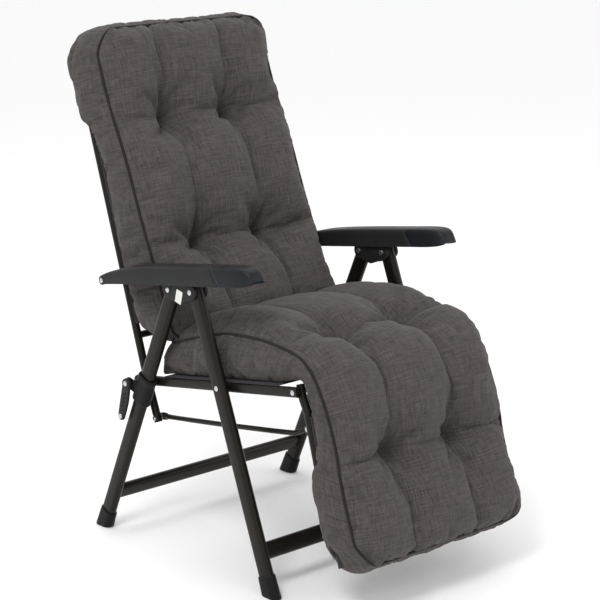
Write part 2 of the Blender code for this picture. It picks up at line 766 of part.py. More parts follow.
def top_bow():
    """The bent tube that closes the back frame: two quarter bends and a straight between them."""
    steps = 6
    bend = [(math.pi / 2 * i / steps) for i in range(steps + 1)]
    half = [
        (FRAME_X - BACK_CORNER * (1 - math.cos(a)), BACK_LENGTH - BACK_CORNER - BOW_LEAD + GAP + BACK_CORNER * math.sin(a))
        for a in bend
    ]
    half = [(FRAME_X, half[0][1])] + [(x, up + BOW_LEAD) for x, up in half]
    line = half + [(-x, up) for x, up in reversed(half)]
    bm = swept([(x, *back_point(up, 0.0)) for x, up in line], TUBE_SECTION, False)
    return give_wall(add_object("back_top_bow", bm, "bronze_tube", "back_frame"), TUBE_WALL)


top_bow()
cross_tube(
    "back_lower_tube",
    back_point(0.075, 0.0),
    BACK_DIR,
    CROSS_SECTION,
    TUBE_WALL,
    FRAME_X - TUBE_D / 2 - GAP,
    "bronze_tube",
    "back_frame",
)
BACK_SLING_H = TUBE_D / 2 + GAP
plate(
    "back_sling",
    [
        back_point(0.098, BACK_SLING_H),
        back_point(BACK_LENGTH - 0.012, BACK_SLING_H),
        back_point(BACK_LENGTH - 0.012, BACK_SLING_H + SLING_THICK),
        back_point(0.098, BACK_SLING_H + SLING_THICK),
    ],
    -(FRAME_X + TUBE_D / 2 - 0.003),
    FRAME_X + TUBE_D / 2 - 0.003,
    "sling_fabric",
    "back_frame",
)
BACK_PAD_H = BACK_SLING_H + SLING_THICK + 0.0008
HOOD_H = -(TUBE_D / 2 + 0.0025)
back_pad_outline = [
    back_point(0.118, BACK_PAD_H),
    back_point(BACK_LENGTH + TUBE_D / 2 + 0.0025, BACK_PAD_H),
    back_point(BACK_LENGTH + TUBE_D / 2 + 0.0025, HOOD_H),
    back_point(BACK_LENGTH - HOOD_DEPTH, HOOD_H),
    back_point(BACK_LENGTH - HOOD_DEPTH, HOOD_H - 0.008),
    back_point(BACK_LENGTH - 0.010, HOOD_H - 0.011),
    back_point(BACK_LENGTH + 0.022, HOOD_H - 0.006),
    back_point(BACK_LENGTH + 0.038, 0.010),
    back_point(BACK_LENGTH + 0.040, BACK_PAD_H + BACK_PAD_THICK * 0.45),
    back_point(BACK_LENGTH + 0.016, BACK_PAD_H + BACK_PAD_THICK * 0.86),
    back_point(BACK_LENGTH - 0.060, BACK_PAD_H + BACK_PAD_THICK),
    back_point(0.320, BACK_PAD_H + BACK_PAD_THICK + 0.012),
    back_point(0.180, BACK_PAD_H + BACK_PAD_THICK + 0.018),
    back_point(0.150, BACK_PAD_H + BACK_PAD_THICK * 0.7),
]
plate("back_cushion", back_pad_outline, -PAD_HALF_WIDTH, PAD_HALF_WIDTH, "pad_fabric", "back_frame", bevel=0.004)


# ---------------------------------------------------------------- armrests
def arm_loft(name, side, sections, material):
    """A moulded length of armrest. Each section is (distance, bottom, top, half width, slant)."""
    bm = bmesh.new()
    rings = []
    for s, bottom, top, half, slant in sections:
        r = min(0.006, (top - bottom) * 0.3)
        shape = [
            (-half + 0.0015, bottom),
            (-half, bottom + 0.002),
            (-half, top - r),
            (-half + r * 0.3, top - r * 0.3),
            (-half + r, top),
            (half - r, top),
            (half - r * 0.3, top - r * 0.3),
            (half, top - r),
            (half, bottom + 0.002),
            (half - 0.0015, bottom),
        ]
        ring = []
        for a, h in shape:
            y, z = arm_point(s + slant * (ARM_TOP - h), h)
            ring.append(Vector((side * (LEG_X + a), y, z)))
        rings.append(ring)
    skin_rings(bm, rings)
    return add_object(name, bm, material, "armrests")


def channel_cutter(s0, s1, depth_top):
    """The space inside the armrest, open underneath."""
    bm = bmesh.new()
    half = ARM_WIDTH / 2 - ARM_WALL
    rings = []
    for s, top in ((s0, 0.010), (s0 + 0.060, 0.022), (s0 + 0.130, depth_top), (s1, depth_top)):
        ring = []
        for a, h in ((-half, ARM_BOTTOM - 0.02), (half, ARM_BOTTOM - 0.02), (half, top), (-half, top)):
            y, z = arm_point(s, h)
            ring.append((a, y, z))
        rings.append(ring)
    return rings


ARM_SECTIONS = [
    (-0.0125, -0.0030, 0.0060, 0.0190, 0.0),
    (-0.0085, -0.0075, 0.0105, 0.0215, 0.0),
    (0.0000, -0.0085, 0.0130, 0.0235, 0.0),
    (0.0200, -0.0075, 0.0180, 0.0250, 0.0),
    (0.0600, ARM_BOTTOM, 0.0250, 0.0265, 0.0),
    (0.1100, ARM_BOTTOM, 0.0310, ARM_WIDTH / 2, 0.0),
    (0.1700, ARM_BOTTOM, ARM_TOP - 0.001, ARM_WIDTH / 2, 0.0),
    (0.2600, ARM_BOTTOM, ARM_TOP, ARM_WIDTH / 2, 0.0),
    (ARM_CAP_AT - 0.018, ARM_BOTTOM, ARM_TOP, ARM_WIDTH / 2, 0.55),
]
CAP_START = ARM_CAP_AT - 0.018 + GAP
CAP_SECTIONS = [
    (CAP_START, ARM_BOTTOM, ARM_TOP, ARM_WIDTH / 2, 0.55),
    (ARM_CAP_AT + 0.030, ARM_BOTTOM, ARM_TOP, ARM_WIDTH / 2, 0.25),
    (ARM_LENGTH - 0.045, ARM_BOTTOM + 0.0005, ARM_TOP - 0.001, ARM_WIDTH / 2 - 0.0005, 0.15),
    (ARM_LENGTH - 0.026, ARM_BOTTOM + 0.002, ARM_TOP - 0.003, ARM_WIDTH / 2 - 0.004, 0.30),
    (ARM_LENGTH - 0.012, ARM_BOTTOM + 0.006, ARM_TOP - 0.010, ARM_WIDTH / 2 - 0.010, 0.35),
]
CHANNEL_TOP = ARM_TOP - ARM_WALL
for word, side in SIDES:
    arm = arm_loft("armrest_" + word, side, ARM_SECTIONS, "arm_plastic")
    end = arm_loft("armrest_end_" + word, side, CAP_SECTIONS, "arm_end")
    for obj, s0, s1 in ((arm, 0.045, ARM_CAP_AT + 0.05), (end, 0.045, ARM_CAP_AT + 0.052)):
        bm = bmesh.new()
        skin_rings(
            bm,
            [[Vector((side * (LEG_X + a), y, z)) for a, y, z in ring] for ring in channel_cutter(s0, s1, CHANNEL_TOP)],
        )
        cut_with(obj, bm, "channel")
    inner = LEG_X - ARM_WIDTH / 2
    drill(arm, ARM_PIVOT, inner - 0.01, inner + 0.07, side)
    bolt("arm_bolt_" + word, ARM_PIVOT, FRAME_X - TUBE_D / 2, LEG_X + 0.0238, side, "back_frame")


# ---------------------------------------------------------------- footrest
FOOT_SLING_H = FOOTREST_BOW + TUBE_D / 2 + GAP
FOOT_PAD_H = FOOT_SLING_H + SLING_THICK + 0.0008
for word, side in SIDES:
    foot_path = [
        foot_point(-0.013, 0.0),
        foot_point(0.012, 0.0),
        foot_point(0.020, 0.0008),
        foot_point(0.044, FOOTREST_BOW - 0.0008),
        foot_point(0.052, FOOTREST_BOW),
        foot_point(FOOTREST_LENGTH - TUBE_D / 2 - GAP, FOOTREST_BOW),
    ]
    tube = side_tube(
        "footrest_tube_" + word, side * FRAME_X, foot_path, TUBE_SECTION, TUBE_WALL, "bronze_tube", "footrest"
    )
    strap_x = FRAME_X - TUBE_D / 2 + 0.0012
    strap = hull_outline([(*LINK_FRONT, 0.0095), (*foot_point(0.066, FOOTREST_BOW - 0.002), 0.0065), (*foot_point(0.108, FOOTREST_BOW - 0.002), 0.006)], 24)
    join_with(tube, outline_solid(strap, side * strap_x, side * (strap_x + 0.004)), "strap")
    drill(tube, KNEE, FRAME_X - 0.02, FRAME_X + 0.02, side)
    drill(tube, LINK_FRONT, FRAME_X - 0.02, FRAME_X + 0.02, side)
    bolt(
        "knee_bolt_" + word, KNEE, FRAME_X - TUBE_D / 2, RAIL_X + RAIL_WIDTH / 2, side, "seat_frame"
    )
    turned_x(
        "link_front_bolt_" + word,
        LINK_FRONT,
        [
            (strap_x - 0.0010, BOLT_R),
            (strap_x + 0.004 + GAP, BOLT_R),
            (strap_x + 0.004 + GAP, BOLT_HEAD_R - 0.001),
            (strap_x + 0.004 + GAP + 0.0022, BOLT_HEAD_R - 0.0025),
        ],
        side,
        "bright_bolt",
        "footrest",
    )
cross_tube(
    "footrest_end_tube",
    foot_point(FOOTREST_LENGTH, FOOTREST_BOW),
    FOOT_DIR,
    TUBE_SECTION,
    TUBE_WALL,
    FRAME_X + TUBE_D / 2,
    "bronze_tube",
    "footrest",
)
plate(
    "footrest_sling",
    [
        foot_point(0.052, FOOT_SLING_H),
        foot_point(FOOTREST_LENGTH + 0.006, FOOT_SLING_H),
        foot_point(FOOTREST_LENGTH + 0.006, FOOT_SLING_H + SLING_THICK),
        foot_point(0.052, FOOT_SLING_H + SLING_THICK),
    ],
    -(FRAME_X + TUBE_D / 2 - 0.003),
    FRAME_X + TUBE_D / 2 - 0.003,
    "sling_fabric",
    "footrest",
)
foot_pad_outline = [
    foot_point(0.056, FOOT_PAD_H),
    foot_point(FOOTREST_LENGTH + 0.004, FOOT_PAD_H),
    foot_point(FOOTREST_LENGTH + 0.014, FOOT_PAD_H + 0.012),
    foot_point(FOOTREST_LENGTH + 0.012, FOOT_PAD_H + FOOT_PAD_THICK * 0.75),
    foot_point(FOOTREST_LENGTH - 0.020, FOOT_PAD_H + FOOT_PAD_THICK),
    foot_point(0.100, FOOT_PAD_H + FOOT_PAD_THICK - 0.004),
    foot_point(0.045, FOOT_PAD_H + FOOT_PAD_THICK * 0.76),
    add2(KNEE, (-math.cos(math.radians(26)), math.sin(math.radians(26))), 0.066),
    add2(KNEE, (-math.cos(math.radians(26)), math.sin(math.radians(26))), 0.022),
    foot_point(0.030, 0.022),
]
plate("footrest_cushion", foot_pad_outline, -PAD_HALF_WIDTH, PAD_HALF_WIDTH, "pad_fabric", "footrest", bevel=0.010)


# ---------------------------------------------------------------- link rods
ROD_RING = [(math.cos(math.pi * i / 6) / 2, math.sin(math.pi * i / 6) / 2) for i in range(12)]


def link_rod(word, side):
    """A round rod with flattened ends, bent slightly up where it meets the footrest strap."""
    bm = bmesh.new()
    line = unit2(LINK_REAR, LINK_FRONT)
    up = (line[1], -line[0])
    length = dist2(LINK_REAR, LINK_FRONT)
    stations = [
        (-0.010, 0.0000, 0.0050, 0.0100),
        (-0.004, 0.0000, 0.0056, 0.0170),
        (0.012, 0.0000, 0.0056, 0.0170),
        (0.030, -0.0010, ROD_D, ROD_D),
        (length * 0.5, -0.0080, ROD_D, ROD_D),
        (length - 0.075, -0.0130, ROD_D, ROD_D),
        (length - 0.045, -0.0110, ROD_D, ROD_D),
        (length - 0.024, -0.0050, ROD_D, ROD_D),
        (length - 0.010, 0.0000, 0.0056, 0.0160),
        (length + 0.005, 0.0030, 0.0056, 0.0160),
        (length + 0.010, 0.0040, 0.0050, 0.0100),
    ]
    path = [add2(add2(LINK_REAR, line, s), up, h) for s, h, _, _ in stations]
    frames = path_frames(path)
    rings = []
    for (s, h, wide, deep), p, d in zip(stations, path, frames):
        ring = [(a * wide, b * deep) for a, b in ROD_RING]
        rings.append(place_ring(side * ROD_X, p, d, ring))
    skin_rings(bm, rings)
    rod = add_object("link_rod_" + word, bm, "bronze_tube", "links")
    drill(rod, LINK_REAR, ROD_X - 0.02, ROD_X + 0.02, side)
    drill(rod, LINK_FRONT, ROD_X - 0.02, ROD_X + 0.02, side)
    bolt(
        "link_rear_bolt_" + word,
        LINK_REAR,
        ROD_X - 0.0028,
        FRAME_X + TUBE_D / 2,
        side,
        "back_frame",
    )


for word, side in SIDES:
    link_rod(word, side)
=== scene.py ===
"""Folding recliner chair with quilted pads: its visible pieces, their finishes, the studio and the camera."""

import math

import bmesh
import bpy
import numpy as np
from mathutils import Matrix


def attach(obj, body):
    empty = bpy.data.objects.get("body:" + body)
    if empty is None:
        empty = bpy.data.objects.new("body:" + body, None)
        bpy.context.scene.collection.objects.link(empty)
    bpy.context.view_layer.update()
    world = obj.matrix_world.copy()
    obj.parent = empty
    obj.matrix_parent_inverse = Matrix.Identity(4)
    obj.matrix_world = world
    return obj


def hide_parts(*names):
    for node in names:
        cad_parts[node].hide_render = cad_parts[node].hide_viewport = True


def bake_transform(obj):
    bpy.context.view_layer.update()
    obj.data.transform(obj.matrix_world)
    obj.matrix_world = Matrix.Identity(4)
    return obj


bl_info = {
    "name": "Folding Recliner Chair",
    "version": (1, 0, 0),
    "blender": (4, 5, 0),
    "location": "3D View > Sidebar > Chair",
    "description": "Builds the looks of a folding recliner chair round its packed frame",
    "category": "Object",
}

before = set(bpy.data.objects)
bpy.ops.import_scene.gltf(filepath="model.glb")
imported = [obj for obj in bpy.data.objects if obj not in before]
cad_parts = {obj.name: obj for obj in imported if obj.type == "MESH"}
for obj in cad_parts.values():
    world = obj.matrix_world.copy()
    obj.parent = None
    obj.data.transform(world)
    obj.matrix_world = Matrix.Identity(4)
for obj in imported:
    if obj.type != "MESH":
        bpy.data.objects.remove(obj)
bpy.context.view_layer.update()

# ---------------------------------------------------------------- the chair's own points, (y, z) in metres
HUB_REAR = np.array((0.0603, 0.602))
HUB_FRONT = np.array((-0.0127, 0.609))
HUB_TOP = np.array((0.0243, 0.630))
REAR_FOOT = np.array((0.3263, 0.0))
FRONT_FOOT = np.array((-0.2477, 0.0))
BACK_PIVOT = np.array((0.2073, 0.365))
ARM_PIVOT = np.array((0.2848, 0.583))
KNEE = np.array((-0.2947, 0.448))
LINK_REAR = np.array((0.1773, 0.281))
LINK_FRONT = np.array((-0.3067, 0.368))
BACK_BEND = np.array((0.2188, 0.385))
BACK_TOP_Z = 1.070
SEAT_BOLT_Z = 0.416
CROSSBAR_UP = 0.088
LEG_X = 0.280
RAIL_X = 0.2575
FRAME_X = 0.2395
ROD_X = 0.2235
SIDES = (("left", 1.0), ("right", -1.0))

# what the maker sets once: how pieces are cut, bent, held and filled
LEVER_LENGTH = 0.082
LEVER_LEAN = math.radians(-9)
STICKER_HALF = (0.0088, 0.0132)
STICKER_TILT = math.radians(14)
BOW_RADIUS = 0.052
FOOT_HOOP_RADIUS = 0.030
FOOT_HOOP_END = 0.350
SLING_THICKNESS = 0.0016
PAD_CORNER = 0.018
TUFT_HOLD = 0.008
CLOTH_ROUNDS = 14
BAND_UV_SHIFT = 3.0
REAR_UV_SHIFT = 7.0
DUST_COLOUR = (0.24, 0.23, 0.21)


def unit(vector):
    return np.asarray(vector, float) / np.linalg.norm(vector)


REAR_DIR = unit(REAR_FOOT - HUB_REAR)
FRONT_DIR = unit(FRONT_FOOT - HUB_FRONT)
SEAT_PIVOT = HUB_FRONT + FRONT_DIR * (HUB_FRONT[1] - SEAT_BOLT_Z) / -FRONT_DIR[1]
SEAT_DIR = unit(KNEE - BACK_PIVOT)
SEAT_UP = np.array((SEAT_DIR[1], -SEAT_DIR[0]))
SEAT_LENGTH = float(np.linalg.norm(KNEE - BACK_PIVOT))
BACK_DIR = unit((0.331, 1.0))
BACK_FRONT = np.array((-BACK_DIR[1], BACK_DIR[0]))
BACK_LENGTH = (BACK_TOP_Z - BACK_BEND[1]) / BACK_DIR[1]
FOOT_DIR = unit((-0.284, -1.0))
FOOT_FRONT = np.array((FOOT_DIR[1], -FOOT_DIR[0]))
ARM_DIR = unit((-1.0, 0.158))
ARM_UP = np.array((ARM_DIR[1], -ARM_DIR[0]))
X_AXIS = np.array((1.0, 0.0, 0.0))


def on_plane(origin, along, up, s, h):
    """Points at distance s along a member and h off it, as (y, z): origin + s * along + h * up."""
    s, h = np.broadcast_arrays(np.asarray(s, float), np.asarray(h, float))
    return origin + s[..., None] * along + h[..., None] * up


def seat_point(s, h):
    return on_plane(BACK_PIVOT, SEAT_DIR, SEAT_UP, s, h)


def back_point(s, h):
    return on_plane(BACK_BEND, BACK_DIR, BACK_FRONT, s, h)


def foot_point(s, h):
    return on_plane(KNEE, FOOT_DIR, FOOT_FRONT, s, h)


def arm_point(s, h):
    return on_plane(ARM_PIVOT, ARM_DIR, ARM_UP, s, h)


def with_x(x, yz):
    """Joins x values and (y, z) points into (x, y, z) points."""
    yz = np.asarray(yz, float)
    x = np.broadcast_to(np.asarray(x, float), yz.shape[:-1])
    return np.concatenate([x[..., None], yz], -1)


# ---------------------------------------------------------------- sizes and colours a maker would change
class ChairFrameSizes(bpy.types.PropertyGroup):
    """Sizes of the metal and plastic pieces."""

    leg_width: bpy.props.FloatProperty(
        name="Leg width", description="Oval leg tube, across", default=0.020, unit="LENGTH"
    )
    leg_depth: bpy.props.FloatProperty(
        name="Leg depth", description="Oval leg tube, front to back", default=0.038, unit="LENGTH"
    )
    tube: bpy.props.FloatProperty(
        name="Frame tube", description="Round tube of the back and footrest", default=0.018, unit="LENGTH"
    )
    rod: bpy.props.FloatProperty(name="Link rod", description="Round link rod", default=0.011, unit="LENGTH")
    bolt_head: bpy.props.FloatProperty(
        name="Bolt head radius", description="Radius of the domed bolt heads", default=0.0058, unit="LENGTH"
    )
    arm_half_width: bpy.props.FloatProperty(
        name="Armrest half width", description="Half the armrest's width", default=0.0275, unit="LENGTH"
    )
    arm_wall: bpy.props.FloatProperty(
        name="Armrest wall", description="Wall of the armrest moulding", default=0.004, unit="LENGTH"
    )


class ChairPadSizes(bpy.types.PropertyGroup):
    """Sizes of the quilted pads."""

    half_width: bpy.props.FloatProperty(
        name="Half width", description="From the middle to the side piping", default=0.2385, unit="LENGTH"
    )
    crown: bpy.props.FloatProperty(
        name="Crown", description="Rise of the front over its piping", default=0.021, unit="LENGTH"
    )
    tuft_depth: bpy.props.FloatProperty(
        name="Tuft depth", description="How far a tuft pulls the front in", default=0.060, unit="LENGTH"
    )
    tuft_x: bpy.props.FloatProperty(
        name="Tuft spacing", description="Distance of the tufts from the middle", default=0.090, unit="LENGTH"
    )
    piping: bpy.props.FloatProperty(
        name="Piping radius", description="Radius of the sewn cord edge", default=0.0034, unit="LENGTH"
    )
    step: bpy.props.FloatProperty(
        name="Cloth step", description="Distance between neighbouring points of the cloth",
        default=0.0056, unit="LENGTH",
    )


class ChairColours(bpy.types.PropertyGroup):
    """Colours of the finishes."""

    fabric: bpy.props.FloatVectorProperty(
        name="Pad fabric", description="Middle colour of the slub weave",
        default=(0.057, 0.0500, 0.0480), size=3, subtype="COLOR",
    )
    piping: bpy.props.FloatVectorProperty(
        name="Piping", description="Cord edge", default=(0.013, 0.011, 0.011), size=3, subtype="COLOR"
    )
    tube: bpy.props.FloatVectorProperty(
        name="Tube", description="Painted tubes", default=(0.0105, 0.0088, 0.0066), size=3, subtype="COLOR"
    )
    arm: bpy.props.FloatVectorProperty(
        name="Armrest", description="Moulded armrest", default=(0.0165, 0.0168, 0.0168), size=3, subtype="COLOR"
    )
    arm_end: bpy.props.FloatVectorProperty(
        name="Armrest end", description="Front end of the armrest",
        default=(0.0105, 0.0115, 0.0140), size=3, subtype="COLOR",
    )
    plastic: bpy.props.FloatVectorProperty(
        name="Black plastic", description="Feet and collars",
        default=(0.0060, 0.0060, 0.0062), size=3, subtype="COLOR",
    )
    bolt: bpy.props.FloatVectorProperty(
        name="Bolts", description="Plated bolts", default=(0.55, 0.55, 0.56), size=3, subtype="COLOR"
    )
    sling: bpy.props.FloatVectorProperty(
        name="Sling", description="Woven sling under the pads",
        default=(0.036, 0.032, 0.036), size=3, subtype="COLOR",
    )
    label: bpy.props.FloatVectorProperty(
        name="Label", description="Blank sticker", default=(0.62, 0.62, 0.60), size=3, subtype="COLOR"
    )
    floor: bpy.props.FloatVectorProperty(
        name="Floor", description="Pale floor", default=(0.95, 0.95, 0.95), size=3, subtype="COLOR"
    )


# ---------------------------------------------------------------- shapes as whole arrays
def spline(points, per=10):
    """A smooth line through points: on each stretch, the cubic with tangents (next - previous) / 2."""
    p = np.asarray(points, float)
    a = np.vstack([2 * p[0] - p[1], p, 2 * p[-1] - p[-2]])
    t = np.linspace(0, 1, per, endpoint=False)[None, :, None]
    p0, p1, p2, p3 = (a[i : len(a) - 3 + i, None, :] for i in range(4))
    square, cube = 2 * p0 - 5 * p1 + 4 * p2 - p3, 3 * p1 - p0 - 3 * p2 + p3
    c = 0.5 * (2 * p1 + (p2 - p0) * t + square * t**2 + cube * t**3)
    return np.vstack([c.reshape(-1, p.shape[1]), p[-1:]])


def distances(line):
    """Running length along a line of points."""
    return np.concatenate([[0.0], np.cumsum(np.linalg.norm(np.diff(line, axis=0), axis=1))])


def at_length(line, wanted):
    """Points of a line at the wanted running lengths, straight between its own points."""
    run = distances(line)
    return np.stack([np.interp(wanted, run, line[:, i]) for i in range(line.shape[1])], -1)


def rounded_line(points, radius, steps=8):
    """A line with bends that start radius before each inner corner: (1-t)^2 a + 2t(1-t) p + t^2 b."""
    p = np.asarray(points, float)
    before = p[1:-1] + radius * (p[:-2] - p[1:-1]) / np.linalg.norm(p[:-2] - p[1:-1], axis=1)[:, None]
    after = p[1:-1] + radius * (p[2:] - p[1:-1]) / np.linalg.norm(p[2:] - p[1:-1], axis=1)[:, None]
    t = np.linspace(0, 1, steps)[None, :, None]
    bends = (1 - t) ** 2 * before[:, None] + 2 * t * (1 - t) * p[1:-1, None] + t**2 * after[:, None]
    return np.vstack([p[:1], bends.reshape(-1, p.shape[1]), p[-1:]])


def oval(width, depth, count=36):
    """Section of an oval tube: a circle of the width, its upper and lower halves moved apart to the depth."""
    turn = (np.arange(count) + 0.5) * 2 * np.pi / count
    small = min(width, depth) / 2
    a = small * np.cos(turn) + np.sign(np.cos(turn)) * max(0.0, (width - depth) / 2)
    b = small * np.sin(turn) + np.sign(np.sin(turn)) * max(0.0, (depth - width) / 2)
    return np.stack([a, b], -1)


def ring_quads(rings, points, closed=False):
    """Faces between neighbouring rings, each ring closed on itself."""
    index = np.arange(rings * points).reshape(rings, points)
    if closed:
        index = np.vstack([index, index[:1]])
    after = np.roll(index, -1, axis=1)
    return np.stack([index[:-1], after[:-1], after[1:], index[1:]], -1).reshape(-1, 4)


def loft(rings, closed=False):
    """Skin over rings of points, with a flat face over each end, or closed end to end."""
    rings = np.asarray(rings, float)
    count, around = rings.shape[:2]
    caps = [] if closed else [list(range(around))[::-1], list(range((count - 1) * around, count * around))]
    return rings.reshape(-1, 3), ring_quads(count, around, closed), caps


def swept(line, side, section):
    """A section carried along a line: line + a * side + b * (tangent x side). It may change on the way."""
    line = np.asarray(line, float)
    tangent = np.gradient(line, axis=0)
    tangent /= np.linalg.norm(tangent, axis=1)[:, None]
    side = np.broadcast_to(np.asarray(side, float), line.shape)
    side = side - (side * tangent).sum(1)[:, None] * tangent
    side /= np.linalg.norm(side, axis=1)[:, None]
    other = np.cross(tangent, side)
    section = np.broadcast_to(section, (len(line),) + np.shape(section)[-2:])
    return line[:, None] + section[..., :1] * side[:, None] + section[..., 1:] * other[:, None]


def tube(line, side, section):
    return loft(swept(line, side, section))


def pulled_outline(circles, inset=0.0, count=96):
    """A line pulled tight round circles (y, z, r): each way, the point of the circle that reaches furthest."""
    turn = np.arange(count) * 2 * np.pi / count
    way = np.stack([np.cos(turn), np.sin(turn)], -1)
    c = np.asarray(circles, float)
    pick = (c[:, :2] @ way.T + c[:, 2:] - inset).argmax(0)
    return c[pick, :2] + (c[pick, 2] - inset)[:, None] * way


def soft_plate(circles, x0, x1, edge, count=96):
    """A plate from x0 to x1 with an outline pulled round circles, its edges rolled over by quarter turns."""
    turn = np.linspace(0, np.pi / 2, 6)
    inset = np.concatenate([edge * (1 - np.sin(turn)), edge * (1 - np.sin(turn))[::-1]])
    push = np.sign(x1 - x0) * edge * (1 - np.cos(turn))
    x = np.concatenate([x0 + push, x1 - push[::-1]])
    return loft(np.stack([with_x(at, pulled_outline(circles, cut, count)) for at, cut in zip(x, inset)]))


def turned(point, profile, side=1.0, count=40):
    """A turned piece on an axle along X: at each (x, r), a circle of radius r round the point."""
    profile = np.asarray(profile, float)
    turn = np.arange(count) * 2 * np.pi / count
    r = np.maximum(profile[:, 1], 1e-4)[:, None]
    y = point[0] + r * np.cos(turn)
    z = point[1] + r * np.sin(turn)
    x = np.broadcast_to(side * profile[:, :1], y.shape)
    return loft(np.stack([x, y, z], -1))


def new_piece(name, shapes, material, sharp=38.0):
    """One mesh object from several shapes, smooth but for edges sharper than the given angle."""
    points = np.vstack([s[0] for s in shapes])
    starts = np.cumsum([0] + [len(s[0]) for s in shapes[:-1]])
    faces = []
    for start, shape in zip(starts, shapes):
        faces += (shape[1] + start).tolist()
        faces += [[i + int(start) for i in cap] for cap in shape[2]]
    mesh = bpy.data.meshes.new(name)
    mesh.from_pydata(points.tolist(), [], faces)
    return finish_mesh(name, mesh, material, sharp)


def turn_outward(mesh, merge=None):
    """Points every face outward, after merging points closer than the given distance."""
    bm = bmesh.new()
    bm.from_mesh(mesh)
    if merge:
        bmesh.ops.remove_doubles(bm, verts=bm.verts, dist=merge)
    bmesh.ops.recalc_face_normals(bm, faces=bm.faces)
    bm.to_mesh(mesh)
    bm.free()


def finish_mesh(name, mesh, material, sharp=None):
    """Makes the object of a mesh: merged, faces outward, smooth, with its material."""
    turn_outward(mesh, merge=1e-6)
    mesh.shade_smooth()
    if sharp is not None:
        mesh.set_sharp_from_angle(angle=math.radians(sharp))
    mesh.materials.append(material)
    obj = bpy.data.objects.new(name, mesh)
    bpy.context.scene.collection.objects.link(obj)
    return obj


def settle(obj, body, slot, *nodes):
    """The piece rides on its body and stands for its CAD nodes; its slot is not used."""
    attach(obj, body)
    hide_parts(*nodes)
    return obj


def fitted(name, shapes, body, slot, *nodes):
    """A piece made from shapes with the finish named by its slot, settled on its body."""
    return settle(new_piece(name, shapes, Finishes.made[slot]), body, slot, *nodes)


# ---------------------------------------------------------------- shader node groups
def socket_group(name, inputs, outputs):
    group = bpy.data.node_groups.new(name, "ShaderNodeTree")
    for label, kind, value in inputs:
        socket = group.interface.new_socket(name=label, in_out="INPUT", socket_type=kind)
        if value is not None:
            socket.default_value = value
    for label, kind in outputs:
        group.interface.new_socket(name=label, in_out="OUTPUT", socket_type=kind)
    return group, group.nodes.new("NodeGroupInput"), group.nodes.new("NodeGroupOutput")


def add_math(tree, operation, a, b=None, clamp=False):
    node = tree.nodes.new("ShaderNodeMath")
    node.operation = operation
    node.use_clamp = clamp
    for socket, value in ((node.inputs[0], a), (node.inputs[1], b)):
        if value is None:
            continue
        if isinstance(value, (int, float)):
            socket.default_value = value
        else:
            tree.links.new(value, socket)
    return node.outputs[0]


def add_noise(tree, vector, scale, detail=3.0, rough=0.55):
    node = tree.nodes.new("ShaderNodeTexNoise")
    node.inputs["Scale"].default_value = scale
    node.inputs["Detail"].default_value = detail
    node.inputs["Roughness"].default_value = rough
    tree.links.new(vector, node.inputs["Vector"])
    return node.outputs["Fac"]


def add_stretch(tree, vector, scale):
    node = tree.nodes.new("ShaderNodeMapping")
    node.inputs["Scale"].default_value = scale
    tree.links.new(vector, node.inputs["Vector"])
    return node.outputs["Vector"]


def add_range(tree, value, low, high, to_low, to_high):
    node = tree.nodes.new("ShaderNodeMapRange")
    for label, number in (("From Min", low), ("From Max", high), ("To Min", to_low), ("To Max", to_high)):
        node.inputs[label].default_value = number
    tree.links.new(value, node.inputs["Value"])
    return node.outputs["Result"]


def slub_weave_group():
    """Plain weave of uneven yarn: long thin streaks both ways for the slubs, crossed waves for the threads."""
    group, given, out = socket_group(
        "slub weave",
        [("Vector", "NodeSocketVector", None)],
        [("Shade", "NodeSocketFloat"), ("Height", "NodeSocketFloat")],
    )
    vector = given.outputs["Vector"]
    warp = add_noise(group, add_stretch(group, vector, (760.0, 48.0, 1.0)), 1.0, 2.0)
    weft = add_noise(group, add_stretch(group, vector, (42.0, 700.0, 1.0)), 1.0, 2.0)
    warp_long = add_noise(group, add_stretch(group, vector, (330.0, 16.0, 1.0)), 1.0, 1.0)
    weft_long = add_noise(group, add_stretch(group, vector, (14.0, 300.0, 1.0)), 1.0, 1.0)
    streaks = add_math(group, "ADD", warp, weft)
    longer = add_math(group, "ADD", warp_long, weft_long)
    streaks, longer = add_math(group, "MULTIPLY", streaks, 0.62), add_math(group, "MULTIPLY", longer, 0.38)
    mixed = add_math(group, "ADD", streaks, longer)
    shade = add_range(group, mixed, 0.76, 1.24, 0.0, 1.0)
    parts = group.nodes.new("ShaderNodeSeparateXYZ")
    group.links.new(vector, parts.inputs[0])
    across = add_math(group, "SINE", add_math(group, "MULTIPLY", parts.outputs[0], 3900.0))
    along = add_math(group, "SINE", add_math(group, "MULTIPLY", parts.outputs[1], 3900.0))
    threads = add_math(group, "MULTIPLY", across, along)
    height = add_math(group, "ADD", add_math(group, "MULTIPLY", threads, 0.16), shade)
    group.links.new(shade, out.inputs["Shade"])
    group.links.new(height, out.inputs["Height"])
    return group


def mottle_group():
    """Broad uneven patches, such as handling marks and fading, from slow noise."""
    group, given, out = socket_group(
        "soft mottle",
        [("Vector", "NodeSocketVector", None), ("Scale", "NodeSocketFloat", 9.0)],
        [("Shade", "NodeSocketFloat")],
    )
    noise = group.nodes.new("ShaderNodeTexNoise")
    noise.inputs["Detail"].default_value = 4.0
    group.links.new(given.outputs["Vector"], noise.inputs["Vector"])
    group.links.new(given.outputs["Scale"], noise.inputs["Scale"])
    group.links.new(add_range(group, noise.outputs["Fac"], 0.3, 0.7, 0.0, 1.0), out.inputs["Shade"])
    return group


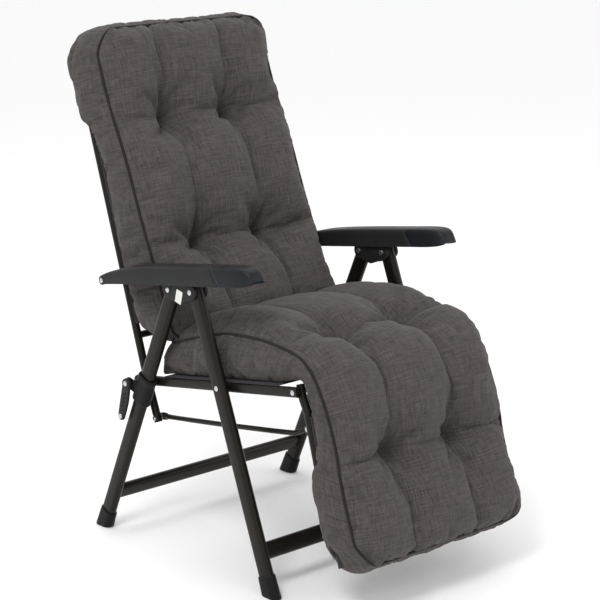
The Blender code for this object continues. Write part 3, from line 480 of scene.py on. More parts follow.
def fine_grain_group():
    """Fine pebbled grain of moulded plastic or powder paint: a small cell pattern over fine noise."""
    group, given, out = socket_group(
        "fine grain",
        [("Vector", "NodeSocketVector", None), ("Scale", "NodeSocketFloat", 1400.0)],
        [("Height", "NodeSocketFloat")],
    )
    cells = group.nodes.new("ShaderNodeTexVoronoi")
    group.links.new(given.outputs["Vector"], cells.inputs["Vector"])
    group.links.new(given.outputs["Scale"], cells.inputs["Scale"])
    noise = group.nodes.new("ShaderNodeTexNoise")
    noise.inputs["Detail"].default_value = 2.0
    group.links.new(given.outputs["Vector"], noise.inputs["Vector"])
    group.links.new(add_math(group, "MULTIPLY", given.outputs["Scale"], 0.5), noise.inputs["Scale"])
    height = add_math(group, "ADD", cells.outputs["Distance"], noise.outputs["Fac"])
    group.links.new(height, out.inputs["Height"])
    return group


def edge_wear_group():
    """Where a corner has been rubbed: the mesh's pointed places, broken up by noise."""
    group, given, out = socket_group(
        "edge wear",
        [("Vector", "NodeSocketVector", None), ("Amount", "NodeSocketFloat", 0.5)],
        [("Mask", "NodeSocketFloat")],
    )
    shape = group.nodes.new("ShaderNodeNewGeometry")
    edge = add_range(group, shape.outputs["Pointiness"], 0.52, 0.60, 0.0, 1.0)
    broken = add_range(group, add_noise(group, given.outputs["Vector"], 160.0, 4.0), 0.42, 0.62, 0.0, 1.0)
    rubbed = add_math(group, "MULTIPLY", edge, broken)
    mask = add_math(group, "MULTIPLY", rubbed, given.outputs["Amount"], clamp=True)
    group.links.new(mask, out.inputs["Mask"])
    return group


def dust_group():
    """A thin settling of dust: strongest on faces that look up, patchy from noise."""
    group, given, out = socket_group(
        "settled dust",
        [("Vector", "NodeSocketVector", None), ("Amount", "NodeSocketFloat", 0.1)],
        [("Mask", "NodeSocketFloat")],
    )
    shape = group.nodes.new("ShaderNodeNewGeometry")
    parts = group.nodes.new("ShaderNodeSeparateXYZ")
    group.links.new(shape.outputs["Normal"], parts.inputs[0])
    up = add_range(group, parts.outputs[2], 0.2, 1.0, 0.0, 1.0)
    patch = add_range(group, add_noise(group, given.outputs["Vector"], 38.0, 5.0), 0.35, 0.75, 0.0, 1.0)
    settled = add_math(group, "MULTIPLY", up, patch)
    mask = add_math(group, "MULTIPLY", settled, given.outputs["Amount"], clamp=True)
    group.links.new(mask, out.inputs["Mask"])
    return group


def place_group(tree, group, vector, **values):
    node = tree.nodes.new("ShaderNodeGroup")
    node.node_tree = group
    tree.links.new(vector, node.inputs["Vector"])
    for label, value in values.items():
        node.inputs[label].default_value = value
    return node


def mixed_colour(tree, factor, a, b):
    node = tree.nodes.new("ShaderNodeMix")
    node.data_type = "RGBA"
    sockets = [s for s in node.inputs if s.type == "RGBA"]
    for socket, value in zip(sockets, (a, b)):
        if isinstance(value, (tuple, list)):
            socket.default_value = (*value[:3], 1.0)
        else:
            tree.links.new(value, socket)
    tree.links.new(factor, node.inputs["Factor"])
    return [s for s in node.outputs if s.type == "RGBA"][0]


def shaded(colour, k):
    return tuple(c * k for c in colour)


class Finishes:
    """The chair's materials, made once and kept by name."""

    made = {}


def start_material(name, uv):
    material = bpy.data.materials.new(name)
    material.use_nodes = True
    tree = material.node_tree
    shader = tree.nodes["Principled BSDF"]
    place = tree.nodes.new("ShaderNodeTexCoord")
    Finishes.made[name] = material
    return material, tree, shader, place.outputs["UV" if uv else "Object"]


def add_bump(tree, shader, height, strength, distance):
    bump = tree.nodes.new("ShaderNodeBump")
    bump.inputs["Strength"].default_value = strength
    bump.inputs["Distance"].default_value = distance
    tree.links.new(height, bump.inputs["Height"])
    tree.links.new(bump.outputs["Normal"], shader.inputs["Normal"])


def woven_material(name, groups, colour, contrast, strength, sheen, uv=True):
    """Slub weave: streaks between a darker and a lighter yarn, with mottling and raised threads."""
    material, tree, shader, vector = start_material(name, uv)
    weave = place_group(tree, groups["weave"], vector)
    mottle = place_group(tree, groups["mottle"], vector, Scale=7.0)
    dark, light = shaded(colour, 1 - contrast), shaded(colour, 1 + contrast)
    yarn = mixed_colour(tree, weave.outputs["Shade"], dark, light)
    fading = add_math(tree, "MULTIPLY", mottle.outputs["Shade"], 0.16)
    faded = mixed_colour(tree, fading, yarn, shaded(colour, 1.35))
    tree.links.new(faded, shader.inputs["Base Color"])
    tree.links.new(add_range(tree, weave.outputs["Shade"], 0.0, 1.0, 0.94, 0.80), shader.inputs["Roughness"])
    shader.inputs["Sheen Weight"].default_value = sheen
    shader.inputs["Sheen Roughness"].default_value = 0.45
    shader.inputs["Specular IOR Level"].default_value = 0.25
    add_bump(tree, shader, weave.outputs["Height"], strength, 0.0006)
    return material


def moulded_material(name, groups, colour, rough, grain, scale, wear, metal=0.0, coat=0.0):
    """Plastic or paint: mottled gloss, fine grain, lighter rubbed edges and a little dust on top."""
    material, tree, shader, vector = start_material(name, False)
    mottle = place_group(tree, groups["mottle"], vector, Scale=14.0)
    worn = place_group(tree, groups["wear"], vector, Amount=wear)
    dust = place_group(tree, groups["dust"], vector, Amount=0.04)
    base = mixed_colour(tree, mottle.outputs["Shade"], shaded(colour, 0.88), shaded(colour, 1.12))
    rubbed = mixed_colour(tree, worn.outputs["Mask"], base, shaded(colour, 2.6))
    dusty = mixed_colour(tree, dust.outputs["Mask"], rubbed, DUST_COLOUR)
    tree.links.new(dusty, shader.inputs["Base Color"])
    rougher = add_range(tree, mottle.outputs["Shade"], 0.0, 1.0, rough - 0.05, rough + 0.06)
    dustier = add_math(tree, "ADD", rougher, dust.outputs["Mask"], clamp=True)
    tree.links.new(dustier, shader.inputs["Roughness"])
    shader.inputs["Metallic"].default_value = metal
    shader.inputs["Specular IOR Level"].default_value = 0.5 if metal == 1.0 else 0.14
    shader.inputs["Coat Weight"].default_value = coat
    shader.inputs["Coat Roughness"].default_value = 0.22
    grained = place_group(tree, groups["grain"], vector, Scale=scale)
    add_bump(tree, shader, grained.outputs["Height"], grain, 0.0003)
    return material


def wear_materials():
    """Makes every finish of the chair."""
    groups = {
        "weave": slub_weave_group(),
        "mottle": mottle_group(),
        "grain": fine_grain_group(),
        "wear": edge_wear_group(),
        "dust": dust_group(),
    }
    c = bpy.context.scene.chair_colours
    woven_material("pad_fabric", groups, tuple(c.fabric), 0.56, 0.6, 0.08)
    woven_material("piping_cord", groups, tuple(c.piping), 0.30, 0.40, 0.05, uv=False)
    woven_material("sling_fabric", groups, tuple(c.sling), 0.30, 0.50, 0.05)
    moulded_material("bronze_tube", groups, tuple(c.tube), 0.34, 0.05, 1900.0, 0.25, metal=0.30, coat=0.15)
    moulded_material("arm_plastic", groups, tuple(c.arm), 0.44, 0.22, 1500.0, 0.35)
    moulded_material("arm_end", groups, tuple(c.arm_end), 0.40, 0.20, 1500.0, 0.35)
    moulded_material("black_plastic", groups, tuple(c.plastic), 0.42, 0.18, 1300.0, 0.5)
    moulded_material("lever_plastic", groups, shaded(tuple(c.arm), 1.25), 0.45, 0.14, 1300.0, 0.5)
    moulded_material("bright_bolt", groups, tuple(c.bolt), 0.24, 0.03, 2200.0, 0.1, metal=1.0)
    moulded_material("label_paper", groups, tuple(c.label), 0.55, 0.05, 900.0, 0.0)


# ---------------------------------------------------------------- legs, feet, crossbars
def leg_line(top, direction, foot):
    return with_x(0.0, np.linspace(top - direction * 0.010, foot - direction * 0.014, 24))


def foot_shape(x, direction, foot, width, depth):
    """A shoe round the leg's end: rings go straight from the flat sole up to a rim square to the leg."""
    across = np.array((-direction[1], direction[0]))
    ring = oval(width, depth, 40)
    up = np.array((0.0, 0.035, 0.10, 0.45, 0.90, 0.97, 1.0, 1.0))
    grow = np.array((0.98, 1.05, 1.06, 1.03, 1.0, 0.985, 0.95, 0.86))
    base = foot + ring[:, 1:] * across
    sole = base - direction * (base[:, 1:] / direction[1])
    rim = foot - direction * 0.046 + ring[:, 1:] * across
    middle = sole.mean(0) * (1 - up)[:, None] + rim.mean(0) * up[:, None]
    yz = sole * (1 - up)[:, None, None] + rim * up[:, None, None]
    yz = middle[:, None] + (yz - middle[:, None]) * grow[:, None, None]
    yz[:2, :, 1] = np.array((0.0, 0.0016))[:, None]
    return loft(with_x(x + ring[:, 0] * grow[:, None], yz))


class CHAIR_OT_legs(bpy.types.Operator):
    """Builds the four oval legs, their moulded shoes and the two cross tubes."""

    bl_idname = "chair.legs"
    bl_label = "Legs and crossbars"

    def execute(self, context):
        size = context.scene.chair_frame
        section = oval(size.leg_width, size.leg_depth)
        for kind, top, way, foot, body in (
            ("rear", HUB_REAR, REAR_DIR, REAR_FOOT, "rear_frame"),
            ("front", HUB_FRONT, FRONT_DIR, FRONT_FOOT, "front_frame"),
        ):
            for word, side in SIDES:
                line = leg_line(top, way, foot) + X_AXIS * side * LEG_X
                leg = tube(line, X_AXIS, section)
                fitted(f"{kind}_leg_{word}_tube", [leg], body, "bronze_tube", f"{kind}_leg_{word}")
                shoe = foot_shape(side * LEG_X, way, foot, size.leg_width + 0.0056, size.leg_depth + 0.0056)
                fitted(f"{kind}_shoe_{word}", [shoe], body, "black_plastic", f"{kind}_foot_{word}")
            middle = foot + way * CROSSBAR_UP / way[1]
            half = LEG_X - size.leg_width / 2 + 0.002
            line = with_x(np.linspace(-half, half, 16), np.tile(middle, (16, 1)))
            bar = tube(line, np.array((0.0, *way)), oval(0.037, 0.020))
            fitted(f"{kind}_cross_tube", [bar], body, "bronze_tube", f"{kind}_crossbar")
        return {"FINISHED"}


# ---------------------------------------------------------------- hubs, collars, levers
class CHAIR_OT_hubs(bpy.types.Operator):
    """Builds the hub brackets under the armrests, a pair of cheeks round the leg tops, and the blank label."""

    bl_idname = "chair.hubs"
    bl_label = "Leg hubs"

    def execute(self, context):
        circles = [(*HUB_REAR, 0.018), (*HUB_FRONT, 0.017), (*HUB_TOP, 0.0085), (0.0253, 0.587, 0.010)]
        for word, side in SIDES:
            cheeks = []
            for way in (-1.0, 1.0):
                near = side * (LEG_X + way * 0.0107)
                far = side * (LEG_X + way * 0.0180)
                cheeks.append(soft_plate(circles, near, far, 0.0016))
                boss = [(LEG_X + way * x, r) for x, r in ((0.0175, 0.0118), (0.0186, 0.0112), (0.0188, 0.0080))]
                cheeks += [turned(point, boss, side) for point in (HUB_REAR, HUB_FRONT)]
            bridge = [(*HUB_TOP, 0.0083), (0.0243, 0.636, 0.0025)]
            cheeks.append(soft_plate(bridge, side * (LEG_X - 0.0125), side * (LEG_X + 0.0125), 0.0008, 64))
            fitted(f"leg_hub_{word}", cheeks, "rear_frame", "arm_plastic", f"hub_{word}")
        corners = np.array(((-1, -1), (1, -1), (1, 1), (-1, 1))) * STICKER_HALF
        cos, sin = math.cos(STICKER_TILT), math.sin(STICKER_TILT)
        turn = np.array(((cos, sin), (-sin, cos)))
        spots = np.array((0.0228, 0.5935)) + corners @ turn
        sticker = soft_plate([(*spot, 0.0012) for spot in spots], -0.29805, -0.29865, 0.0002, 48)
        fitted("blank_label", [sticker], "rear_frame", "label_paper", "hub_label_right")
        return {"FINISHED"}


def collar_sleeve(x, middle):
    """A sleeve on the leg: its wall profile, down the outside and up the passage, carried round an oval."""
    profile = np.array(
        (
            (-0.0395, 0.0212, 0.0392),
            (-0.0407, 0.0262, 0.0450),
            (-0.0400, 0.0290, 0.0490),
            (-0.0380, 0.0300, 0.0505),
            (-0.0330, 0.0302, 0.0505),
            (-0.0300, 0.0292, 0.0488),
            (-0.0285, 0.0280, 0.0476),
            (-0.0200, 0.0282, 0.0482),
            (0.0000, 0.0285, 0.0490),
            (0.0200, 0.0285, 0.0490),
            (0.0245, 0.0281, 0.0485),
            (0.0260, 0.0262, 0.0465),
            (0.0260, 0.0214, 0.0400),
            (0.0200, 0.0212, 0.0392),
            (0.0000, 0.0212, 0.0392),
            (-0.0200, 0.0212, 0.0392),
        )
    )
    across = np.array((-REAR_DIR[1], REAR_DIR[0]))
    rings = []
    for along, width, depth in profile:
        ring = oval(width, depth, 48)
        rings.append(with_x(x + ring[:, 0], middle + along * REAR_DIR + ring[:, 1:] * across))
    return loft(np.stack(rings), closed=True)


class CHAIR_OT_collars(bpy.types.Operator):
    """Builds the sliding lock collars on the rear legs and the ribbed levers that hang from them."""

    bl_idname = "chair.collars"
    bl_label = "Lock collars and levers"

    def execute(self, context):
        middle = HUB_REAR + REAR_DIR * float((BACK_PIVOT - HUB_REAR) @ REAR_DIR)
        across = np.array((-REAR_DIR[1], REAR_DIR[0]))
        lobe_middle = middle - REAR_DIR * 0.004 + across * 0.0205
        lobe = [(*BACK_PIVOT, 0.0125), (*lobe_middle, 0.0120), (*(middle + across * 0.010), 0.010)]
        cos, sin = math.cos(LEVER_LEAN), math.sin(LEVER_LEAN)
        hang = np.array((REAR_DIR[0] * cos - REAR_DIR[1] * sin, REAR_DIR[0] * sin + REAR_DIR[1] * cos))
        back = np.array((-hang[1], hang[0]))
        end = BACK_PIVOT + hang * LEVER_LENGTH
        grip = [
            (*BACK_PIVOT, 0.0115),
            (*(BACK_PIVOT + hang * 0.042 - back * 0.0015), 0.0126),
            (*(BACK_PIVOT + hang * 0.064 - back * 0.0008), 0.0112),
            (*end, 0.0095),
        ]
        low, high = LEG_X + 0.01455, LEG_X + 0.0236
        eye = [(high - 0.001, 0.0108), (high + 0.0006, 0.0104), (high + 0.0009, 0.0096), (high + 0.0009, 0.0080)]
        head = [(low + 0.001, 0.003), (high + 0.0002, 0.003), (high + 0.0003, 0.0058), (high + 0.0009, 0.0055)]
        head += [(high + 0.0016, 0.0042), (high + 0.0020, 0.0020), (high + 0.0021, 0.0)]
        rib_way = unit(back + hang * 0.75)
        rib_run = np.linspace(-1, 1, 16)[:, None]
        for word, side in SIDES:
            body, node = f"lever_{word}_body", f"lever_{word}"
            shapes = [collar_sleeve(side * LEG_X, middle)]
            for near, far in ((LEG_X - 0.0136, LEG_X - 0.0104), (LEG_X + 0.0104, LEG_X + 0.0136)):
                shapes.append(soft_plate(lobe, side * near, side * far, 0.0010))
            fitted(f"lock_collar_{word}", shapes, "slider", "black_plastic", f"slider_{word}")
            ribs = []
            for at in np.linspace(0.026, 0.066, 5):
                spot = BACK_PIVOT + hang * at - back * 0.001
                x = side * (high + 0.0006 - 0.0032 * rib_run[:, 0] ** 4)
                line = with_x(x, spot + rib_way * 0.0096 * rib_run)
                ribs.append(tube(line, X_AXIS, oval(0.0026, 0.0030, 14)))
            fitted(f"lock_lever_{word}_ribs", ribs, body, "black_plastic", node)
            shapes = [soft_plate(grip, side * low, side * high, 0.0034, 120), turned(BACK_PIVOT, eye, side)]
            fitted(f"lock_lever_{word}", shapes, body, "lever_plastic", node)
            rivet = turned(end, head, side)
            fitted(f"lever_rivet_{word}_head", [rivet], body, "bright_bolt", f"lever_rivet_{word}")
        return {"FINISHED"}


# ---------------------------------------------------------------- bolts
def bolt_shapes(point, inner, outer, side, head, nut=True):
    """A domed bolt: shank, flanged head whose face is a low cap of a sphere, and a hexagon nut inside."""
    turns = np.linspace(0.12, 1.0, 7) * math.pi / 2
    dome = [(outer + 0.0010 + 0.0018 * math.sin(turn), head * 0.86 * math.cos(turn)) for turn in turns]
    profile = [(inner - 0.0042, 0.0036), (inner, 0.0039), (outer, 0.0039)]
    profile += [(outer + 0.0001, head), (outer + 0.0009, head)]
    shapes = [turned(point, profile + dome, side, 32)]
    if nut:
        nut_profile = [(inner - 0.0040, 0.0060), (inner - 0.0036, 0.0068)]
        nut_profile += [(inner - 0.0004, 0.0068), (inner - 0.0001, 0.0062)]
        shapes.append(turned(point, nut_profile, side, 6))
    return shapes


class CHAIR_OT_bolts(bpy.types.Operator):
    """Builds the plated bolts of every pivot."""

    bl_idname = "chair.bolts"
    bl_label = "Bolts"

    def execute(self, context):
        head = context.scene.chair_frame.bolt_head
        half_tube = context.scene.chair_frame.tube / 2
        rows = (
            ("hub_rear_bolt", HUB_REAR, LEG_X - 0.0180, LEG_X + 0.0184, "rear_frame", True),
            ("hub_front_bolt", HUB_FRONT, LEG_X - 0.0180, LEG_X + 0.0184, "rear_frame", True),
            ("seat_pivot_bolt", SEAT_PIVOT, RAIL_X + 0.0082, LEG_X + 0.0103, "front_frame", False),
            ("back_pivot_bolt", BACK_PIVOT, FRAME_X - half_tube, LEG_X + 0.0238, "slider", True),
            ("arm_bolt", ARM_PIVOT, FRAME_X - half_tube, LEG_X + 0.0241, "back_frame", True),
            ("knee_bolt", KNEE, FRAME_X - half_tube, RAIL_X + 0.0072, "seat_frame", True),
            ("link_rear_bolt", LINK_REAR, ROD_X - 0.0030, FRAME_X + half_tube, "back_frame", True),
            ("link_front_bolt", LINK_FRONT, 0.2307, 0.2360, "footrest", False),
        )
        for name, point, inner, outer, body, nut in rows:
            for word, side in SIDES:
                shapes = bolt_shapes(point, inner, outer, side, head, nut)
                fitted(f"{name}_{word}_domed", shapes, body, "bright_bolt", f"{name}_{word}")
        return {"FINISHED"}


# ---------------------------------------------------------------- seat, back and footrest frames
def mirrored(half):
    """A line that runs up one side and, mirrored in x, back down the other."""
    return np.vstack([half, (half * (-1, 1, 1))[::-1]])


class CHAIR_OT_frames(bpy.types.Operator):
    """Builds the seat rails, the bent back frame, the footrest frame and the link rods."""

    bl_idname = "chair.frames"
    bl_label = "Inner frames"

    def execute(self, context):
        size = context.scene.chair_frame
        round_tube = oval(size.tube, size.tube, 32)
        for word, side in SIDES:
            line = with_x(side * RAIL_X, seat_point(np.linspace(-0.013, SEAT_LENGTH + 0.0104, 24), 0.0))
            rail = tube(line, X_AXIS, oval(0.014, 0.022))
            fitted(f"seat_rail_{word}_oval", [rail], "seat_frame", "bronze_tube", f"seat_rail_{word}")
        for name, at, body, place in (
            ("seat_rear_tube", 0.075, "seat_frame", seat_point),
            ("seat_front_tube", 0.365, "seat_frame", seat_point),
            ("back_lower_tube", 0.075, "back_frame", back_point),
        ):
            half = 0.2508 if body == "seat_frame" else 0.2310
            x = np.linspace(-half, half, 16)
            line = with_x(x, np.tile(place(at, 0.0), (16, 1)))
            cross = tube(line, np.array((0.0, *SEAT_DIR)), oval(0.016, 0.016, 28))
            fitted(f"{name}_round", [cross], body, "bronze_tube", name)
        tail = unit(LINK_REAR - BACK_BEND)
        low = np.array([LINK_REAR + tail * 0.010, BACK_BEND + tail * 0.012, BACK_BEND + BACK_DIR * 0.010])
        low = rounded_line(np.vstack([low, back_point(0.30, 0.0)]), 0.008)
        arc = np.linspace(0, np.pi / 2, 14)
        bow_x = FRAME_X - BOW_RADIUS * (1 - np.cos(arc))
        bow_s = BACK_LENGTH - BOW_RADIUS + BOW_RADIUS * np.sin(arc)
        one = np.vstack([with_x(FRAME_X, low), with_x(FRAME_X, back_point(np.linspace(0.33, 0.64, 12), 0.0))])
        one = np.vstack([one, with_x(bow_x, back_point(bow_s, 0.0))])
        hoop = tube(mirrored(one), np.array((0.0, *BACK_FRONT)), round_tube)
        nodes = ("back_tube_left", "back_tube_right", "back_top_bow")
        fitted("back_hoop", [hoop], "back_frame", "bronze_tube", *nodes)

        steps = ((-0.013, 0), (0.012, 0), (0.020, 0.0008), (0.044, 0.0062), (0.052, 0.007), (0.20, 0.007))
        down = spline(np.array((*steps, (0.300, 0.007))), 6)
        s = FOOT_HOOP_END - FOOT_HOOP_RADIUS + FOOT_HOOP_RADIUS * np.sin(arc)
        x = FRAME_X - FOOT_HOOP_RADIUS * (1 - np.cos(arc))
        one = np.vstack([with_x(FRAME_X, foot_point(down[:, 0], down[:, 1])), with_x(x, foot_point(s, 0.007))])
        shapes = [tube(mirrored(one), np.array((0.0, *FOOT_FRONT)), round_tube)]
        strap = [(*LINK_FRONT, 0.0095), (*foot_point(0.066, 0.005), 0.0065), (*foot_point(0.108, 0.005), 0.006)]
        shapes += [soft_plate(strap, side * 0.2317, side * 0.2357, 0.0008) for _, side in SIDES]
        nodes = ("footrest_tube_left", "footrest_tube_right", "footrest_end_tube")
        fitted("footrest_hoop", shapes, "footrest", "bronze_tube", *nodes)

        way = unit(LINK_FRONT - LINK_REAR)
        rise = np.array((way[1], -way[0]))
        length = float(np.linalg.norm(LINK_FRONT - LINK_REAR))
        stations = np.array(
            (
                (-0.0105, 0.0, 0.0040, 0.0060),
                (-0.009, 0.0, 0.0056, 0.0120),
                (-0.003, 0.0, 0.0056, 0.0168),
                (0.012, 0.0, 0.0056, 0.0168),
                (0.030, -0.0010, size.rod, size.rod),
                (length * 0.25, -0.0048, size.rod, size.rod),
                (length * 0.5, -0.0090, size.rod, size.rod),
                (length - 0.075, -0.0130, size.rod, size.rod),
                (length - 0.045, -0.0110, size.rod, size.rod),
                (length - 0.024, -0.0050, size.rod, size.rod),
                (length - 0.010, 0.0000, 0.0056, 0.0160),
                (length + 0.004, 0.0030, 0.0056, 0.0160),
                (length + 0.009, 0.0038, 0.0056, 0.0120),
                (length + 0.0105, 0.0040, 0.0040, 0.0060),
            )
        )
        fine = spline(stations, 6)
        turn = np.arange(28) * 2 * np.pi / 28
        sections = np.stack([fine[:, 2:3] * np.cos(turn) / 2, fine[:, 3:4] * np.sin(turn) / 2], -1)
        for word, side in SIDES:
            line = with_x(side * ROD_X, LINK_REAR + fine[:, :1] * way + fine[:, 1:2] * rise)
            rod = tube(line, X_AXIS, sections)
            fitted(f"link_rod_{word}_bent", [rod], "links", "bronze_tube", f"link_rod_{word}")
        return {"FINISHED"}


# ---------------------------------------------------------------- slings
def cloth_sheet(name, low, high, half, node, body):
    """A sheet stretched flat between its ends at (y, z) low and high: low + t * (high - low)."""
    t, x = np.linspace(0, 1, 40), np.linspace(-1, 1, 40)
    grid_t, grid_x = np.meshgrid(t, x, indexing="ij")
    points = with_x(grid_x * half, low + grid_t[..., None] * (high - low))
    length = float(np.linalg.norm(high - low))
    uv = np.stack([grid_x * half, grid_t * length], -1)
    sheet = patch_piece(name, [(points, uv)], Finishes.made["sling_fabric"])
    wall = sheet.modifiers.new("cloth thickness", "SOLIDIFY")
    wall.thickness = SLING_THICKNESS
    wall.offset = 0.0
    settle(sheet, body, "sling_fabric", node)


class CHAIR_OT_slings(bpy.types.Operator):
    """Builds the stretched slings under the pads."""

    bl_idname = "chair.slings"
    bl_label = "Slings"

    def execute(self, context):
        for name, body, rail, place, ends, rise, half in (
            ("seat_sling", "seat_frame", "seat_rail", seat_point, (0.090, 0.463), 0.0122, 0.2625),
            ("back_sling", "back_frame", "back_tube", back_point, (0.100, 0.708), 0.0106, 0.2450),
            ("footrest_sling", "footrest", "footrest_tube", foot_point, (0.054, 0.366), 0.0176, 0.2450),
        ):
            low, high = (place(at, rise) for at in ends)
            cloth_sheet(f"{name}_cloth", low, high, half, name, body)
        return {"FINISHED"}


# ---------------------------------------------------------------- armrests
def arm_rings(sections, x, wall):
    """Rings of an armrest, a rounded box open underneath: two curves, each |a|^n + |b|^n = 1."""
    s, bottom, top, half, slant, roof = np.asarray(sections, float).T
    turn = np.linspace(0, np.pi, 33)
    power = 2 / 6.5
    c = np.sign(np.cos(turn)) * np.abs(np.cos(turn)) ** power
    d = np.abs(np.sin(turn)) ** power
    a_out = half[:, None] * c
    h_out = bottom[:, None] + (top - bottom)[:, None] * d
    inner_half = np.maximum(half - wall, 0.001)
    a_in = inner_half[:, None] * c[::-1]
    h_in = bottom[:, None] + np.maximum(roof - bottom, 0.0002)[:, None] * d[::-1]
    a = np.concatenate([a_out, a_in], 1)
    h = np.concatenate([h_out, h_in], 1)
    along = s[:, None] + slant[:, None] * (0.035 - h)
    return with_x(x + a, arm_point(along, h))


class CHAIR_OT_armrests(bpy.types.Operator):
    """Builds the moulded armrests, open underneath, and their separate front ends."""

    bl_idname = "chair.armrests"
    bl_label = "Armrests"

    def execute(self, context):
        size = context.scene.chair_frame
        half = size.arm_half_width
        body_rows = np.array(
            (
                (-0.0125, 0.0000, 0.0030, 0.0150, 0.0, 0.0001),
                (-0.0118, -0.0035, 0.0065, 0.0182, 0.0, -0.003),
                (-0.0085, -0.0075, 0.0105, 0.0215, 0.0, -0.007),
                (0.0000, -0.0085, 0.0130, 0.0235, 0.0, -0.008),
                (0.0200, -0.0078, 0.0182, 0.0250, 0.0, 0.004),
                (0.0600, -0.0065, 0.0252, 0.0266, 0.0, 0.021),
                (0.1100, -0.0060, 0.0312, half, 0.0, 0.0272),
                (0.1700, -0.0060, 0.0340, half, 0.0, 0.0300),
                (0.2600, -0.0060, 0.0350, half, 0.15, 0.0310),
                (0.3700, -0.0060, 0.0350, half, 0.50, 0.0310),
                (0.3800, -0.0060, 0.0350, half, 0.55, 0.0310),
                (0.3812, -0.0056, 0.0344, half - 0.0006, 0.55, 0.0310),
            )
        )
        smooth = np.vstack([spline(body_rows[:-2], 5), body_rows[-2:]])
        end_rows = np.array(
            (
                (0.3816, -0.0056, 0.0344, half - 0.0006, 0.55, 0.0310),
                (0.3830, -0.0060, 0.0350, half, 0.55, 0.0310),
                (0.4300, -0.0060, 0.0350, half, 0.25, 0.0300),
                (0.4560, -0.0055, 0.0342, half - 0.0004, 0.20, 0.0200),
                (0.4740, -0.0040, 0.0322, half - 0.0030, 0.28, 0.0060),
                (0.4840, -0.0015, 0.0285, half - 0.0070, 0.33, 0.0),
                (0.4895, 0.0030, 0.0235, half - 0.0120, 0.35, 0.0035),
                (0.4905, 0.0070, 0.0195, half - 0.0165, 0.35, 0.0072),
            )
        )
        end_smooth = np.vstack([end_rows[:1], spline(end_rows[1:], 6)])
        rim = LEG_X + 0.0232
        ring = [(rim - 0.0030, 0.0098), (rim, 0.0102), (rim + 0.0006, 0.0098)]
        ring += [(rim + 0.0008, 0.0088), (rim + 0.0008, 0.0040)]
        for word, side in SIDES:
            x = side * LEG_X
            for part, shape, slot, node in (
                ("moulding", loft(arm_rings(smooth, x, size.arm_wall)), "arm_plastic", "armrest"),
                ("washer", turned(ARM_PIVOT, ring, side), "black_plastic", "armrest"),
                ("front", loft(arm_rings(end_smooth, x, size.arm_wall)), "arm_end", "armrest_end"),
            ):
                fitted(f"armrest_{word}_{part}", [shape], "armrests", slot, f"{node}_{word}")
        return {"FINISHED"}


# ---------------------------------------------------------------- quilted pads
def weld(patches):
    """Stitches grids that share edges into one skin: points, faces, corner UVs and each grid's point numbers."""
    points = np.vstack([p.reshape(-1, 3) for p, _ in patches])
    uvs = np.vstack([uv.reshape(-1, 2) for _, uv in patches])
    faces, start = [], 0
    for p, _ in patches:
        n, m = p.shape[:2]
        index = np.arange(n * m).reshape(n, m) + start
        start += n * m
        quads = np.stack([index[:-1, :-1], index[1:, :-1], index[1:, 1:], index[:-1, 1:]], -1)
        faces.append(quads.reshape(-1, 4))
    faces = np.vstack(faces)
    _, first, same = np.unique(np.round(points, 6), axis=0, return_index=True, return_inverse=True)
    same = same.reshape(-1)
    numbers, start = [], 0
    for p, _ in patches:
        n, m = p.shape[:2]
        numbers.append(same[start : start + n * m].reshape(n, m))
        start += n * m
    return points[first], same[faces], uvs[faces], numbers


def skin_mesh(name, points, faces, uvs):
    mesh = bpy.data.meshes.new(name)
    mesh.from_pydata(points.tolist(), [], faces.tolist())
    layer = mesh.uv_layers.new(name="cloth")
    layer.data.foreach_set("uv", uvs.reshape(-1).astype(np.float32))
    return mesh


def patch_piece(name, patches, material, sharp=None):
    points, faces, uvs, _ = weld(patches)
    return finish_mesh(name, skin_mesh(name, points, faces, uvs), material, sharp)


def pillow(distance, reach):
    """Quarter-ellipse rise from an edge: sqrt(1 - (1 - d / reach)^2), level beyond reach."""
    q = np.clip(distance / reach, 0, 1)
    return np.sqrt(np.clip(1 - (1 - q) ** 2, 0, 1))


def smooth_step(t):
    """0 below 0, 1 above 1, and t * t * (3 - 2 t) between."""
    t = np.clip(t, 0, 1)
    return t * t * (3 - 2 * t)


def ripple(a, b, seed):
    """A bounded uneven ripple, a sum of four sines whose waves share no common length."""
    turn = seed * 1.7
    return (
        np.sin(a * 151 + 2.1 * np.sin(b * 23 + turn) + turn)
        + 0.7 * np.sin(a * 263 + b * 41 + 2.7 * turn)
        + 0.5 * np.sin(a * 389 - b * 67 + 1.3 * turn)
        + 0.6 * np.sin(a * 67 + b * 31 + 0.7 * turn)
    ) / 2.8


